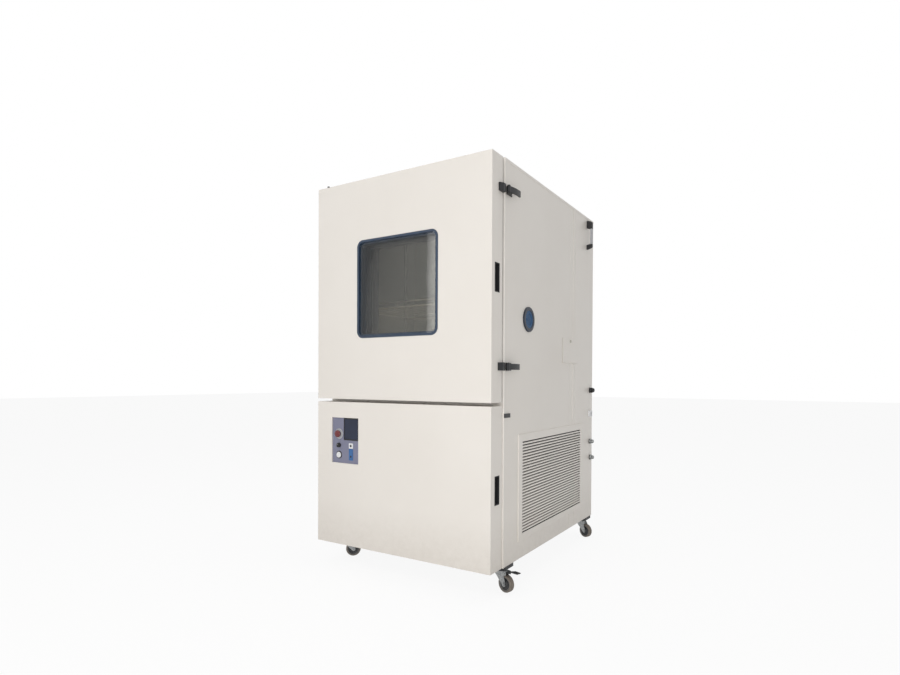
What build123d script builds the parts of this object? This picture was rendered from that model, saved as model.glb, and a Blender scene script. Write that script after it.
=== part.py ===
from build123d import *
import math
import os

os.makedirs("parts", exist_ok=True)

# Environmental test chamber on castors. Millimetres, +Z up, front towards -Y.
# The origin is on the floor under the middle of the cabinet.

# Cabinet
body_width = 1052.0
cabinet_height = 1850.0
overall_depth = 1335.0
castor_height = 126.0
skin = 2.0  # outer sheet
rim_depth = 14.0  # folded front frame
rim_proud = 1.5  # the frame stands this far outside the side sheets
rim_fold = 4.0
roof_flange = 12.0
seam_groove = 3.0
seam_gap = 86.0  # between the two grooves of the seam
seam_strip_offset = 50.0
seam_strip_width = 25.0
strip_gap = 2.0
service_width = 930.0  # front opening of the machine space
service_height = 640.0
service_rise = 50.0

# Depths are measured from the front of the doors, rises from the cabinet's underside.
door_width = 1040.0
upper_door_height = 1099.0
lower_door_height = 735.0
upper_door_thickness = 100.0
lower_door_thickness = 108.0
body_setback = 110.0
door_sheet = 2.0
door_fold = 3.0
plug_height = 40.0  # the inner step of the upper door enters the mouth by this much
plug_gap = 6.0
plug_round = 14.0
gasket_inset = 6.0
gasket_width = 20.0
gasket_gap = 0.3

# Insulated space
chamber_width = 840.0
chamber_height = 900.0
chamber_depth = 700.0
chamber_rise = 850.0
back_insulation = 125.0
chamber_corner = 18.0
liner_sheet = 2.0
deck_rise = 737.0
deck_sheet = 4.0
partition_sheet = 2.0
pan_sheet = 3.0
pan_edge = 28.0
plenum_depth = 90.0
baffle_sheet = 2.0
baffle_slot = 45.0
baffle_side_gap = 2.0
inlet_slots = 16
inlet_inner_radius = 34.0
inlet_outer_radius = 108.0
inlet_slot_width = 11.0

# Shelf and its uprights
shelf_rise = 1230.0
shelf_side_gap = 14.0
shelf_front_gap = 62.0
shelf_back_gap = 16.0
shelf_rod = 6.0
shelf_wire = 4.0
shelf_wires = 13
shelf_rail_height = 26.0
upright_width = 24.0
upright_depth = 6.0
upright_margin = 22.0
upright_depths = (90.0, 520.0)
upright_slots = 9
upright_slot_pitch = 90.0
upright_slot_size = (10.0, 30.0)
shelf_tab_depth = 16.0
shelf_tab_sheet = 3.0

# Window in the upper door
window_width = 488.0
window_height = 490.0
window_left = 272.0  # from the door's left edge
window_rise = 1058.0
window_corner = 36.0
window_face = 12.0
window_face_depth = 2.0
window_sleeve = 4.0
pane_count = 6
pane_thickness = 5.0
pane_pitch = 20.0
pane_gap = 1.0
pane_setback = 3.0
spacer_width = 8.0
inner_face_width = 22.0
inner_face_depth = 3.0

# Grip pockets in the right edges of the doors
pocket_width = 44.0
pocket_height = 130.0
pocket_lip = 4.0
pocket_wall = 2.0
pocket_reach = 34.0
pocket_face = 1.0
pocket_clearance = 0.2
upper_pocket = (50.0, 1304.0)  # depth and rise of its middle
lower_pocket = (58.0, 361.0)

# Hinges on the left edge
hinge_offset = 30.0  # axis outside the frame
hinge_depth = 105.0
hinge_radius = 11.0
hinge_pin_radius = 5.0
hinge_bore_gap = 0.1
hinge_leaf = 8.0
hinge_leaf_reach = 70.0
hinge_knuckle = 54.0
hinge_washer = 0.6
hinge_rises = (150.0, 590.0, 900.0, 1680.0)
hinge_leaf_inset = 3.0
hinge_arm_gap = 1.0
body_arm = ((-9.0, 5.0), (8.0, 3.0))  # where the cabinet's arm meets its barrel, from the axis
door_arm = ((5.0, 7.0), (-8.5, -3.0))

# Latches on the right side
latch_rises = (912.0, 1707.0)
latch_height = 36.0
latch_base = (128.0, 178.0)
latch_base_sheet = 4.0
latch_ear = 4.0
latch_pivot_depth = 119.0
latch_pivot_out = 14.0  # pivot outside the frame
latch_boss_radius = 9.0
latch_pin_radius = 3.5
latch_gap = 0.4
lever_end_depth = 214.0
lever_thickness = 7.0
lever_bow = 9.0
strike_depths = (60.0, 100.0)
strike_out = 17.0
strike_nose = 6.0
catch_depths = (112.0, 167.0)
catch_rise = 690.0
catch_height = 19.0
catch_out = 6.0
latch_nose_depth = 106.5
latch_ear_radius = 7.0
latch_ear_points = ((-4.0, -5.0), (6.0, 3.0))  # corners of an ear, from the pivot
latch_nose = (-2.0, 4.0)
lever_root = 2.0
lever_shoulder = 1.0

# Cable port
port_offset = 259.0  # behind the front frame's face
port_rise = 1147.0
port_bore_radius = 43.0
port_tube = 2.0
port_flange_radius = 61.0
port_flange_thickness = 7.5
port_flange_round = 3.0
port_hole_gap = 0.4
plug_fit = 0.3
plug_recess = 2.5
plug_taper = 1.2
plug_dish_radius = 32.0
plug_dish = 3.0
plug_grip = (46.0, 8.0)

# Access hatch
hatch_reach = (111.0, 113.0)  # before and behind the seam's front groove
hatch_rises = (951.0, 1090.0)
hatch_sheet = 2.5
hatch_stand = 0.8
hatch_roll = 3.0
hatch_pin_radius = 1.6
hatch_pin_reach = 3.6
hatch_lug = 4.0
hatch_lug_gap = 0.4
hatch_corner = 4.0
hatch_opening = (10.0, 101.0)  # behind the seam's front groove
hatch_opening_rises = (968.0, 1070.0)
lock_rise = 1074.0
lock_radius = 8.0
lock_barrel_radius = 5.0
lock_head = 4.0
lock_slot = (2.0, 10.0)

# Side grille
grille_offset = 152.0  # behind the front frame's face
grille_inset = 185.0  # before the cabinet's back
grille_rises = (84.0, 593.0)
grille_thickness = 5.0
grille_bevel = 2.0
louvre_margin = (41.0, 36.0)
louvre_middle_rise = 337.5
louvre_count = 31
louvre_pitch = 14.4
louvre_gap = 6.5
louvre_face = 2.0
louvre_blade = 11.0
louvre_drop = 6.0
louvre_blade_sheet = 1.4
grille_opening_margin = 6.0

# Control field in the lower door
control_left = 100.0
control_width = 181.0
control_rise = 420.0
control_height = 234.0
control_recess = 8.0
control_plate_sheet = 3.0
control_plate_margin = 14.0
screen_size = (102.0, 114.0)
screen_middle = (229.0, 596.0)
screen_proud = 4.0
screen_body = 38.0
screen_body_inset = 8.0
stop_middle = (145.0, 570.0)
stop_collar_radius = 27.0
stop_collar = 3.0
stop_radius = 19.0
stop_height = 20.0
stop_stem_radius = 9.0
stop_travel = 5.0
knob_middle = (145.0, 511.0)
knob_radius = 12.0
knob_height = 13.0
button_middle = (145.0, 461.0)
button_radius = 15.0
button_bezel_radius = 19.0
button_bezel = 3.0
button_proud = 3.5
button_travel = 2.5
socket_middle = (226.0, 511.0)
socket_size = (27.0, 27.0)
socket_hole_radius = 4.0
limiter_middle = (226.0, 466.0)
limiter_size = (27.0, 58.0)
limiter_drop = 10.0
limiter_hole_radius = 3.0
device_proud = 2.5
device_tail = 20.0
device_gap = 0.3
device_tail_inset = 4.0
stem_tail = 8.0
button_tail = 6.0
face_bevel = 1.5
stop_gap = 1.0
stop_roundness = 0.6
knob_grip = (5.0, 5.0, 4.0)  # width, inset and height
return_width = 30.0

# Connections at the rear edge of the right side
gland_middle = (45.0, 790.0)  # inset from the back and rise
gland_radius = 18.5
gland_reach = 30.0
data_socket_middle = (52.0, 645.0)
data_socket_size = 37.0
data_socket_reach = 14.0
fitting_middles = ((45.0, 471.0), (39.0, 371.0))
fitting_radius = 17.0
fitting_reach = 26.0
gland_step = 4.0
fitting_step = 5.0
hexagon = 6
grab_inset = 113.0
grab_rises = (1654.0, 1829.0)
grab_width = 22.0
grab_reach = 34.0
grab_bar = 12.0
grab_foot = 28.0
grab_taper = 4.0
cap_middle = (47.0, 27.0)  # from the door's left edge and front
cap_radius = 6.0
cap_height = 17.0

# Castors
castor_inset = 47.0
castor_front_depth = 178.0
castor_back_inset = 55.0
castor_trail = 37.0
wheel_radius = 40.0
wheel_width = 28.0
hub_radius = 13.0
hub_width = 30.4
axle_radius = 4.0
axle_gap = 0.1
tyre_depth = 7.0
disc_dish = 4.0
fork_top_z = 98.0
fork_sheet = 2.5
fork_inside = 31.0
fork_crown_radius = 29.0
fork_foot_radius = 11.0
castor_plate = 88.0
castor_plate_sheet = 4.0
castor_pad = 14.0
race_radius = 26.0
race_gap = 0.4
kingpin_radius = 6.0
kingpin_drop = 8.0
kingpin_nut = (4.0, 7.0)  # wider than the pin, and high
fork_crown_margin = 4.0
fork_shoulder = (12.0, 16.0)
fork_leg_edge = 6.0
fork_foot_drop = 3.0
axle_nut = (3.0, 5.0)
tread_bevel = 3.0
pedal_width = 24.0
pedal_reach = 115.0
pedal_tread = 36.0
pedal_rise = 15.0
pedal_sheet = 3.5
pedal_pivot = (43.0, 90.0)  # along the fork and up from the floor
pedal_barrel_radius = 4.5
pedal_pin_radius = 2.5
pedal_ridges = 4
pedal_ridge = (3.0, 1.6)
pedal_ridge_pitch = 7.0
pedal_lip = 1.0
pin_tail = 0.5
castor_swivels = {"front_left": 42.0, "front_right": -17.0, "rear_left": 163.0, "rear_right": -22.0}

# Machinery
fan_radius = 112.0
fan_blades = 7
fan_blade_chord = 46.0
fan_blade_sheet = 2.5
fan_hub_radius = 30.0
fan_hub_length = 40.0
fan_blade_pitches = (52.0, 28.0)  # blade angle at the hub and at the tip
blade_root = 4.0  # how deep a blade stands in its hub
fan_front_gap = 12.0
shaft_radius = 7.0
shaft_gap = 0.3
shaft_hole_radius = 10.0
motor_radius = 62.0
motor_flange_radius = 80.0
motor_flange = 10.0
motor_length = 165.0
motor_ribs = 16
motor_rib = (8.0, 2.4)
coil_width = 720.0
coil_height = 250.0
coil_depth = 56.0
coil_fins = 24
coil_fin_sheet = 3.0
heater_rod = 4.0
heater_spans = (150.0, 220.0, 290.0)
heater_gap = 30.0
heater_drop = 220.0
condenser_margin = 20.0  # the coil stops this far inside the slots
condenser_height = 430.0
condenser_thickness = 48.0
condenser_gap = 30.0
condenser_foot = 24.0
condenser_fins = 30
condenser_fin_sheet = 2.0
condenser_fin_reach = 4.0
shroud_sheet = 3.0
shroud_ring_radius = 156.0
shroud_ring_wall = 3.0
shroud_ring_length = 44.0
shroud_inset = 6.0
shroud_arms = 3
shroud_arm = (16.0, 8.0)
blower_radius = 147.0
blower_hub_radius = 36.0
blower_hub_length = 30.0
blower_blades = 5
blower_chord = 92.0
blower_pitches = (68.0, 76.0)
blower_setback = 7.0
blower_shaft_length = 32.0
blower_motor_radius = 46.0
blower_motor_length = 76.0
blower_shaft_radius = 5.0
compressor_place = (-120.0, 560.0)  # from the middle and behind the front frame's face
compressor_radius = 110.0
compressor_height = 330.0
compressor_foot = 18.0
compressor_dome = 70.0
compressor_skirt = (20.0, 30.0)
compressor_feet = 3
foot_radius = 16.0
foot_inset = 12.0
foot_rise = 26.0
dome_fullness = 0.6
pipe_radius = 6.0
pipe_loop = 60.0
pipe_seat = 8.0  # how deep a pipe stands in the dome
pipe_z = 300.0
tank_place = (-330.0, 230.0)
tank_radius = 90.0
tank_height = 300.0
tank_lid = 12.0
tank_lid_rim = 14.0
steam_pipe_radius = 16.0
gear_plate = (820.0, 420.0)
gear_inset = 165.0
gear_sheet = 3.0
gear_foot = 40.0
gear_rows = ((90.0, 60.0, 9), (210.0, 78.0, 7), (330.0, 46.0, 12))  # rise, width and number
gear_spacing = 10.0
gear_block = (70.0, 60.0)  # height and depth
vent_slot = (220.0, 8.0)
vent_pitch = 20.0
vent_rows = 12
vent_columns = 3
vent_column_pitch = 286.0
vent_rise = 330.0
upper_vent_rise = 1500.0
screw_radius = 2.4
screw_head_radius = 6.0
screw_head = 2.6
screw_tip = 4.0
screw_rows = 6
screw_pitch = 346.0
screw_margin = 14.0

# Planes and lines shared by the pieces
front_y = -overall_depth / 2
back_y = overall_depth / 2
rim_y = front_y + body_setback
rim_back_y = rim_y + rim_depth
base_z = castor_height
top_z = base_z + cabinet_height
rim_x = body_width / 2
skin_x = rim_x - rim_proud
wall_x = skin_x - skin
door_x = door_width / 2
panel_back_y = back_y - skin
roof_under_z = top_z - skin
deck_z = base_z + deck_rise
deck_top_z = deck_z + deck_sheet
pan_top_z = base_z + pan_sheet
cavity_x = chamber_width / 2
cavity_z = base_z + chamber_rise
cavity_top_z = cavity_z + chamber_height
chamber_mid_z = (cavity_z + cavity_top_z) / 2
cavity_back_y = rim_y + chamber_depth
baffle_y = cavity_back_y - plenum_depth
partition_y = rim_y + chamber_depth + back_insulation
grille_y = (rim_y + grille_offset, back_y - grille_inset)
field_y = (grille_y[0] + louvre_margin[0], grille_y[1] - louvre_margin[1])
upper_door_z = top_z - upper_door_height
upper_door_back_y = front_y + upper_door_thickness
lower_door_top_z = base_z + lower_door_height
lower_door_back_y = front_y + lower_door_thickness
plug_back_y = rim_y + plug_height
window_x = window_left + window_width / 2 - door_x
window_z = base_z + window_rise + window_height / 2
sleeve_width = window_width - 2 * window_face + 2 * window_sleeve
sleeve_height = window_height - 2 * window_face + 2 * window_sleeve
sleeve_corner = window_corner - window_face + window_sleeve
screw_x = skin_x - screw_margin
screw_middle_z = base_z + cabinet_height / 2
port_y = rim_y + port_offset
port_z = base_z + port_rise
hinge_x = -rim_x - hinge_offset
hinge_y = front_y + hinge_depth
compressor_middle = (compressor_place[0], rim_y + compressor_place[1])
tank_middle = (tank_place[0], rim_y + tank_place[1])


# A sketch on a face plane reads right and up, and extrudes to the front.
def face_plane(y):
    return Plane.XZ.offset(-y)


# A sketch on a side plane reads back and up, and extrudes to the right.
def side_plane(x):
    return Plane.YZ.offset(x)


def level_plane(z):
    return Plane.XY.offset(z)


def middle(pair):
    return (pair[0] + pair[1]) / 2


# A rectangular block between low and high values along each direction
def block(x, y, z, mode=Mode.ADD):
    with Locations((middle(x), middle(y), middle(z))):
        Box(x[1] - x[0], y[1] - y[0], z[1] - z[0], mode=mode)


# A round bar from one point to another
def rod(start, end, radius, mode=Mode.ADD):
    run = Vector(*end) - Vector(*start)
    with BuildSketch(Plane(origin=start, z_dir=run)) as section:
        Circle(radius)
    extrude(section.sketch, amount=run.length, mode=mode)


# A rounded upright plate seen from the front, between two depths
def front_plate(centre, size, corner, y, mode=Mode.ADD):
    with BuildSketch(face_plane(y[1])) as outline:
        with Locations(centre):
            RectangleRounded(size[0], size[1], corner)
    extrude(outline.sketch, amount=y[1] - y[0], mode=mode)


# Twisted blades around an axis: a steep root section lofted to a flatter tip section
def twisted_blades(centre, axis, count, radii, chord, sheet, pitches):
    side = Vector(0, 0, 1)
    for number in range(count):
        out = side.rotate(Axis((0, 0, 0), axis), 360.0 * number / count)
        ends = []
        for radius, pitch in zip(radii, pitches):
            spot = Vector(*centre) + out * radius
            with BuildSketch(Plane(origin=spot, x_dir=axis, z_dir=out)) as section:
                Rectangle(chord, sheet, rotation=pitch)
            ends.append(section.sketch.face())
        loft(ends)


# Front frame of the cabinet: a folded frame with the chamber's mouth and the machine opening
with BuildPart() as front_frame:
    with BuildSketch(face_plane(rim_back_y)):
        with Locations((0, base_z + cabinet_height / 2)):
            Rectangle(body_width, cabinet_height)
        with Locations((0, chamber_mid_z)):
            mouth_width = chamber_width + 2 * liner_sheet
            mouth_height = chamber_height + 2 * liner_sheet
            mouth_corner = chamber_corner + liner_sheet
            RectangleRounded(mouth_width, mouth_height, mouth_corner, mode=Mode.SUBTRACT)
        with Locations((0, base_z + service_rise + service_height / 2)):
            Rectangle(service_width, service_height, mode=Mode.SUBTRACT)
    extrude(amount=rim_depth)
    rim_corners = front_frame.edges().filter_by(Axis.Z).group_by(Axis.Y)[0].sort_by(Axis.X)
    fillet([rim_corners[0], rim_corners[-1]], radius=rim_fold)
front_frame.part.label = "front_frame"
export_step(front_frame.part, "parts/front_frame.step")


# Side sheets: one long sheet each, with the seam lines of the rear part pressed in
def side_sheet(side):
    outer = (min(side * wall_x, side * skin_x), max(side * wall_x, side * skin_x))
    block(outer, (rim_back_y, panel_back_y), (base_z, roof_under_z))
    for seam_y in (partition_y, partition_y + seam_gap):
        groove = (side * (skin_x - skin / 2), side * (skin_x + skin))
        block(
            (min(groove), max(groove)),
            (seam_y - seam_groove / 2, seam_y + seam_groove / 2),
            (base_z, roof_under_z),
            mode=Mode.SUBTRACT,
        )


# The raised strip of the seam, between two rises
def seam_strip(side, rises):
    strip = (side * wall_x, side * (skin_x + rim_proud))
    strip_y = partition_y + seam_strip_offset
    block(
        (min(strip), max(strip)),
        (strip_y, strip_y + seam_strip_width),
        (base_z + rises[0], base_z + rises[1]),
    )


hatch_axis_x = skin_x + hatch_stand + hatch_roll
hatch_axis_z = base_z + hatch_rises[0]
hatch_y = (partition_y - hatch_reach[0], partition_y + hatch_reach[1])
strip_top_rise = cabinet_height - roof_flange - strip_gap / 2
with BuildPart() as side_panel_right:
    side_sheet(1)
    seam_strip(1, (grille_rises[1] + strip_gap, hatch_rises[0] - 2 * hatch_roll))
    seam_strip(1, (hatch_rises[1] + strip_gap, strip_top_rise))
    with BuildSketch(side_plane(wall_x)):
        with Locations((port_y, port_z)):
            Circle(port_bore_radius + port_tube + port_hole_gap)
        with Locations((middle(field_y), base_z + louvre_middle_rise)):
            opening_width = field_y[1] - field_y[0] + 2 * grille_opening_margin
            opening_height = louvre_pitch * louvre_count + 2 * grille_opening_margin
            Rectangle(opening_width, opening_height)
        with Locations((partition_y + middle(hatch_opening), base_z + middle(hatch_opening_rises))):
            Rectangle(
                hatch_opening[1] - hatch_opening[0],
                hatch_opening_rises[1] - hatch_opening_rises[0],
            )
    extrude(amount=4 * skin, mode=Mode.SUBTRACT)
    for lug_start in (hatch_y[0] - hatch_lug_gap - hatch_lug, hatch_y[1] + hatch_lug_gap):
        with BuildSketch(face_plane(lug_start + hatch_lug)) as lug:
            with Locations((hatch_axis_x, hatch_axis_z)):
                Circle(hatch_roll)
            with Locations((middle((skin_x, hatch_axis_x)), hatch_axis_z)):
                Rectangle(hatch_axis_x - skin_x, 2 * hatch_roll)
            with Locations((hatch_axis_x, hatch_axis_z)):
                Circle(hatch_pin_radius + hinge_bore_gap, mode=Mode.SUBTRACT)
        extrude(lug.sketch, amount=hatch_lug)
side_panel_right.part.label = "side_panel_right"
export_step(side_panel_right.part, "parts/side_panel_right.step")

with BuildPart() as side_panel_left:
    side_sheet(-1)
    seam_strip(-1, (strip_gap, strip_top_rise))
side_panel_left.part.label = "side_panel_left"
export_step(side_panel_left.part, "parts/side_panel_left.step")

# Roof sheet with its edges folded down over the side sheets
with BuildPart() as roof_panel:
    block((-rim_x, rim_x), (rim_back_y, back_y), (roof_under_z, top_z))
    for side in (-1, 1):
        flange = (side * skin_x, side * rim_x)
        flange_z = (top_z - roof_flange, top_z)
        block((min(flange), max(flange)), (rim_back_y, back_y), flange_z)
roof_panel.part.label = "roof_panel"
export_step(roof_panel.part, "parts/roof_panel.step")

# Rear sheet with two fields of vent slots
with BuildPart() as rear_panel:
    block((-skin_x, skin_x), (panel_back_y, back_y), (base_z, roof_under_z))
    with BuildSketch(face_plane(back_y)):
        for field_rise in (vent_rise, upper_vent_rise):
            with Locations((0, base_z + field_rise)):
                with GridLocations(vent_column_pitch, vent_pitch, vent_columns, vent_rows):
                    Rectangle(vent_slot[0], vent_slot[1])
    extrude(amount=skin, mode=Mode.SUBTRACT)
    with BuildSketch(face_plane(back_y)):
        with Locations((0, screw_middle_z)):
            with GridLocations(2 * screw_x, screw_pitch, 2, screw_rows):
                Circle(screw_radius + device_gap)
    extrude(amount=skin, mode=Mode.SUBTRACT)
rear_panel.part.label = "rear_panel"
export_step(rear_panel.part, "parts/rear_panel.step")

# Screws of the rear sheet
with BuildPart() as rear_screws:
    for screw_side in (-1, 1):
        for screw_row in range(screw_rows):
            spot_z = screw_middle_z + (screw_row - (screw_rows - 1) / 2) * screw_pitch
            spot_x = screw_side * screw_x
            shank_start = (spot_x, panel_back_y - screw_tip, spot_z)
            rod(shank_start, (spot_x, back_y, spot_z), screw_radius)
            head_end = (spot_x, back_y + screw_head, spot_z)
            rod((spot_x, back_y, spot_z), head_end, screw_head_radius)
rear_screws.part.label = "rear_screws"
export_step(rear_screws.part, "parts/rear_screws.step")

# Base pan: the floor of the machine space with upturned edges
with BuildPart() as base_pan:
    block((-wall_x, wall_x), (rim_back_y, panel_back_y), (base_z, base_z + pan_edge))
    block(
        (-wall_x + pan_sheet, wall_x - pan_sheet),
        (rim_back_y + pan_sheet, panel_back_y - pan_sheet),
        (pan_top_z, base_z + pan_edge),
        mode=Mode.SUBTRACT,
    )
base_pan.part.label = "base_pan"
export_step(base_pan.part, "parts/base_pan.step")

# Inner partition: the deck under the insulation and the sheet behind it
with BuildPart() as inner_partition:
    block((-wall_x, wall_x), (rim_back_y, panel_back_y), (deck_z, deck_top_z))
    block(
        (-wall_x, wall_x), (partition_y, partition_y + partition_sheet), (deck_z, roof_under_z)
    )
    rod(
        (0, partition_y - partition_sheet, chamber_mid_z),
        (0, partition_y + 2 * partition_sheet, chamber_mid_z),
        shaft_hole_radius,
        mode=Mode.SUBTRACT,
    )
inner_partition.part.label = "inner_partition"
export_step(inner_partition.part, "parts/inner_partition.step")

# Insulation around the chamber
port_hole_radius = port_bore_radius + port_tube + port_hole_gap
with BuildPart() as chamber_insulation:
    block((-wall_x, wall_x), (rim_back_y, partition_y), (deck_top_z, roof_under_z))
    liner_size = (chamber_width + 2 * liner_sheet, chamber_height + 2 * liner_sheet)
    liner_y = (rim_y, cavity_back_y + liner_sheet)
    front_plate(
        (0, chamber_mid_z), liner_size, chamber_corner + liner_sheet, liner_y, Mode.SUBTRACT
    )
    rod((cavity_x, port_y, port_z), (wall_x, port_y, port_z), port_hole_radius, Mode.SUBTRACT)
    shaft_run = ((0, cavity_back_y, chamber_mid_z), (0, partition_y, chamber_mid_z))
    rod(shaft_run[0], shaft_run[1], shaft_hole_radius, Mode.SUBTRACT)
chamber_insulation.part.label = "chamber_insulation"
export_step(chamber_insulation.part, "parts/chamber_insulation.step")

# Chamber liner: stainless box open to the front
shelf_z = base_z + shelf_rise
with BuildPart() as chamber_liner:
    front_plate((0, chamber_mid_z), liner_size, chamber_corner + liner_sheet, liner_y)
    cavity_y = (rim_y, cavity_back_y)
    cavity_size = (chamber_width, chamber_height)
    front_plate((0, chamber_mid_z), cavity_size, chamber_corner, cavity_y, Mode.SUBTRACT)
    port_wall = ((cavity_x - liner_sheet, port_y, port_z), (wall_x, port_y, port_z))
    rod(port_wall[0], port_wall[1], port_hole_radius, Mode.SUBTRACT)
    rod(shaft_run[0], shaft_run[1], shaft_hole_radius, Mode.SUBTRACT)
chamber_liner.part.label = "chamber_liner"
export_step(chamber_liner.part, "parts/chamber_liner.step")

# Wire shelf: a rod frame, wires from front to back and raised rails, on four slotted uprights
shelf_x = cavity_x - shelf_side_gap
shelf_front_y = rim_y + shelf_front_gap
shelf_back_y = baffle_y - shelf_back_gap
with BuildPart() as wire_shelf:
    for side in (-1, 1):
        edge_start = (side * shelf_x, shelf_front_y, shelf_z)
        rod(edge_start, (side * shelf_x, shelf_back_y, shelf_z), shelf_rod / 2)
    for cross_y in (shelf_front_y, shelf_back_y):
        for cross_z in (shelf_z, shelf_z + shelf_rail_height):
            rod((-shelf_x, cross_y, cross_z), (shelf_x, cross_y, cross_z), shelf_rod / 2)
        for post in (-1, -1 / 3, 1 / 3, 1):
            foot = (post * shelf_x, cross_y, shelf_z)
            rod(foot, (post * shelf_x, cross_y, shelf_z + shelf_rail_height), shelf_rod / 2)
    for side in (-1, 1):
        upright_x = (side * (cavity_x - upright_depth), side * cavity_x)
        tab_x = (side * (cavity_x - upright_depth - shelf_tab_depth), side * cavity_x)
        for upright_depth_y in upright_depths:
            upright_y = rim_y + upright_depth_y
            span_y = (upright_y - upright_width / 2, upright_y + upright_width / 2)
            span_z = (cavity_z + upright_margin, cavity_top_z - upright_margin)
            block((min(upright_x), max(upright_x)), span_y, span_z)
            with BuildSketch(side_plane(min(upright_x))) as slots:
                with Locations((upright_y, chamber_mid_z)):
                    with GridLocations(1, upright_slot_pitch, 1, upright_slots):
                        Rectangle(upright_slot_size[0], upright_slot_size[1])
            extrude(slots.sketch, amount=upright_depth, mode=Mode.SUBTRACT)
            tab_z = shelf_z - shelf_rod / 2
            block((min(tab_x), max(tab_x)), span_y, (tab_z - shelf_tab_sheet, tab_z))
    wire_pitch = 2 * shelf_x / (shelf_wires + 1)
    for wire in range(1, shelf_wires + 1):
        wire_x = -shelf_x + wire * wire_pitch
        wire_start = (wire_x, shelf_front_y, shelf_z)
        rod(wire_start, (wire_x, shelf_back_y, shelf_z), shelf_wire / 2)
wire_shelf.part.label = "wire_shelf"
export_step(wire_shelf.part, "parts/wire_shelf.step")

# Air baffle in front of the fan, folded back at its sides to stand on the rear wall
baffle_x = cavity_x - baffle_side_gap
baffle_z = (cavity_z + baffle_slot, cavity_top_z - baffle_slot)
with BuildPart() as air_baffle:
    block((-baffle_x, baffle_x), (baffle_y, cavity_back_y), baffle_z)
    block(
        (-baffle_x + baffle_sheet, baffle_x - baffle_sheet),
        (baffle_y + baffle_sheet, cavity_back_y),
        baffle_z,
        mode=Mode.SUBTRACT,
    )
    with BuildSketch(face_plane(baffle_y + baffle_sheet)):
        with Locations((0, chamber_mid_z)):
            with PolarLocations(middle((inlet_inner_radius, inlet_outer_radius)), inlet_slots):
                Rectangle(inlet_outer_radius - inlet_inner_radius, inlet_slot_width)
    extrude(amount=baffle_sheet, mode=Mode.SUBTRACT)
air_baffle.part.label = "air_baffle"
export_step(air_baffle.part, "parts/air_baffle.step")

# Air coils behind the baffle: the finned evaporator above the fan, the heater rods below it
coil_y = (cavity_back_y - coil_depth, cavity_back_y)
coil_top_z = cavity_top_z - baffle_slot
coil_z = (coil_top_z - coil_height, coil_top_z)
with BuildPart() as air_coils:
    fin_pitch = coil_width / (coil_fins - 1)
    for fin in range(coil_fins):
        fin_x = -coil_width / 2 + fin * fin_pitch
        block((fin_x - coil_fin_sheet / 2, fin_x + coil_fin_sheet / 2), coil_y, coil_z)
    core_y = (coil_y[0] + coil_fin_sheet, coil_y[1])
    block((-coil_width / 2, coil_width / 2), core_y, (coil_z[0] + coil_fin_sheet, coil_z[1]))
    heater_top_z = chamber_mid_z - fan_radius - heater_gap
    heater_y = baffle_y + plenum_depth / 2
    for heater_half in heater_spans:
        for heater_side in (-1, 1):
            leg_x = heater_side * heater_half
            low = heater_top_z - heater_drop + (heater_spans[-1] - heater_half) / 2
            rod((leg_x, heater_y, low), (leg_x, heater_y, heater_top_z), heater_rod)
            back = (leg_x, cavity_back_y, heater_top_z - heater_rod)
            rod((leg_x, heater_y, heater_top_z - heater_rod), back, heater_rod)
        bar = heater_half + heater_rod
        rod((-bar, heater_y, low), (bar, heater_y, low), heater_rod)
air_coils.part.label = "air_coils"
export_step(air_coils.part, "parts/air_coils.step")

# Circulation fan with its shaft through the rear wall
fan_y = baffle_y + baffle_sheet + fan_front_gap
motor_y = partition_y + partition_sheet
shaft_end_y = motor_y + 3 * motor_flange
with BuildPart() as circulation_fan:
    hub_end = (0, fan_y + fan_hub_length, chamber_mid_z)
    rod((0, fan_y, chamber_mid_z), hub_end, fan_hub_radius)
    rod(hub_end, (0, shaft_end_y, chamber_mid_z), shaft_radius)
    twisted_blades(
        (0, fan_y + fan_hub_length / 2, chamber_mid_z),
        (0, 1, 0),
        fan_blades,
        (fan_hub_radius - blade_root, fan_radius),
        fan_blade_chord,
        fan_blade_sheet,
        fan_blade_pitches,
    )
circulation_fan.part.label = "circulation_fan"
export_step(circulation_fan.part, "parts/circulation_fan.step")

# Fan motor on the back of the partition, with ribs along its case
with BuildPart() as fan_motor:
    flange_end_y = motor_y + motor_flange
    rod((0, motor_y, chamber_mid_z), (0, flange_end_y, chamber_mid_z), motor_flange_radius)
    motor_end_y = motor_y + motor_length
    rod((0, flange_end_y, chamber_mid_z), (0, motor_end_y, chamber_mid_z), motor_radius)
    with Locations((0, 0, chamber_mid_z)):
        with Locations(Rotation(90, 0, 0)):
            with PolarLocations(motor_radius, motor_ribs):
                with Locations((0, 0, -middle((flange_end_y, motor_end_y)))):
                    Box(motor_rib[0], motor_rib[1], motor_length - 3 * motor_flange)
    rod(
        (0, motor_y, chamber_mid_z),
        (0, shaft_end_y + shaft_gap, chamber_mid_z),
        shaft_radius + shaft_gap,
        mode=Mode.SUBTRACT,
    )
fan_motor.part.label = "fan_motor"
export_step(fan_motor.part, "parts/fan_motor.step")

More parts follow.
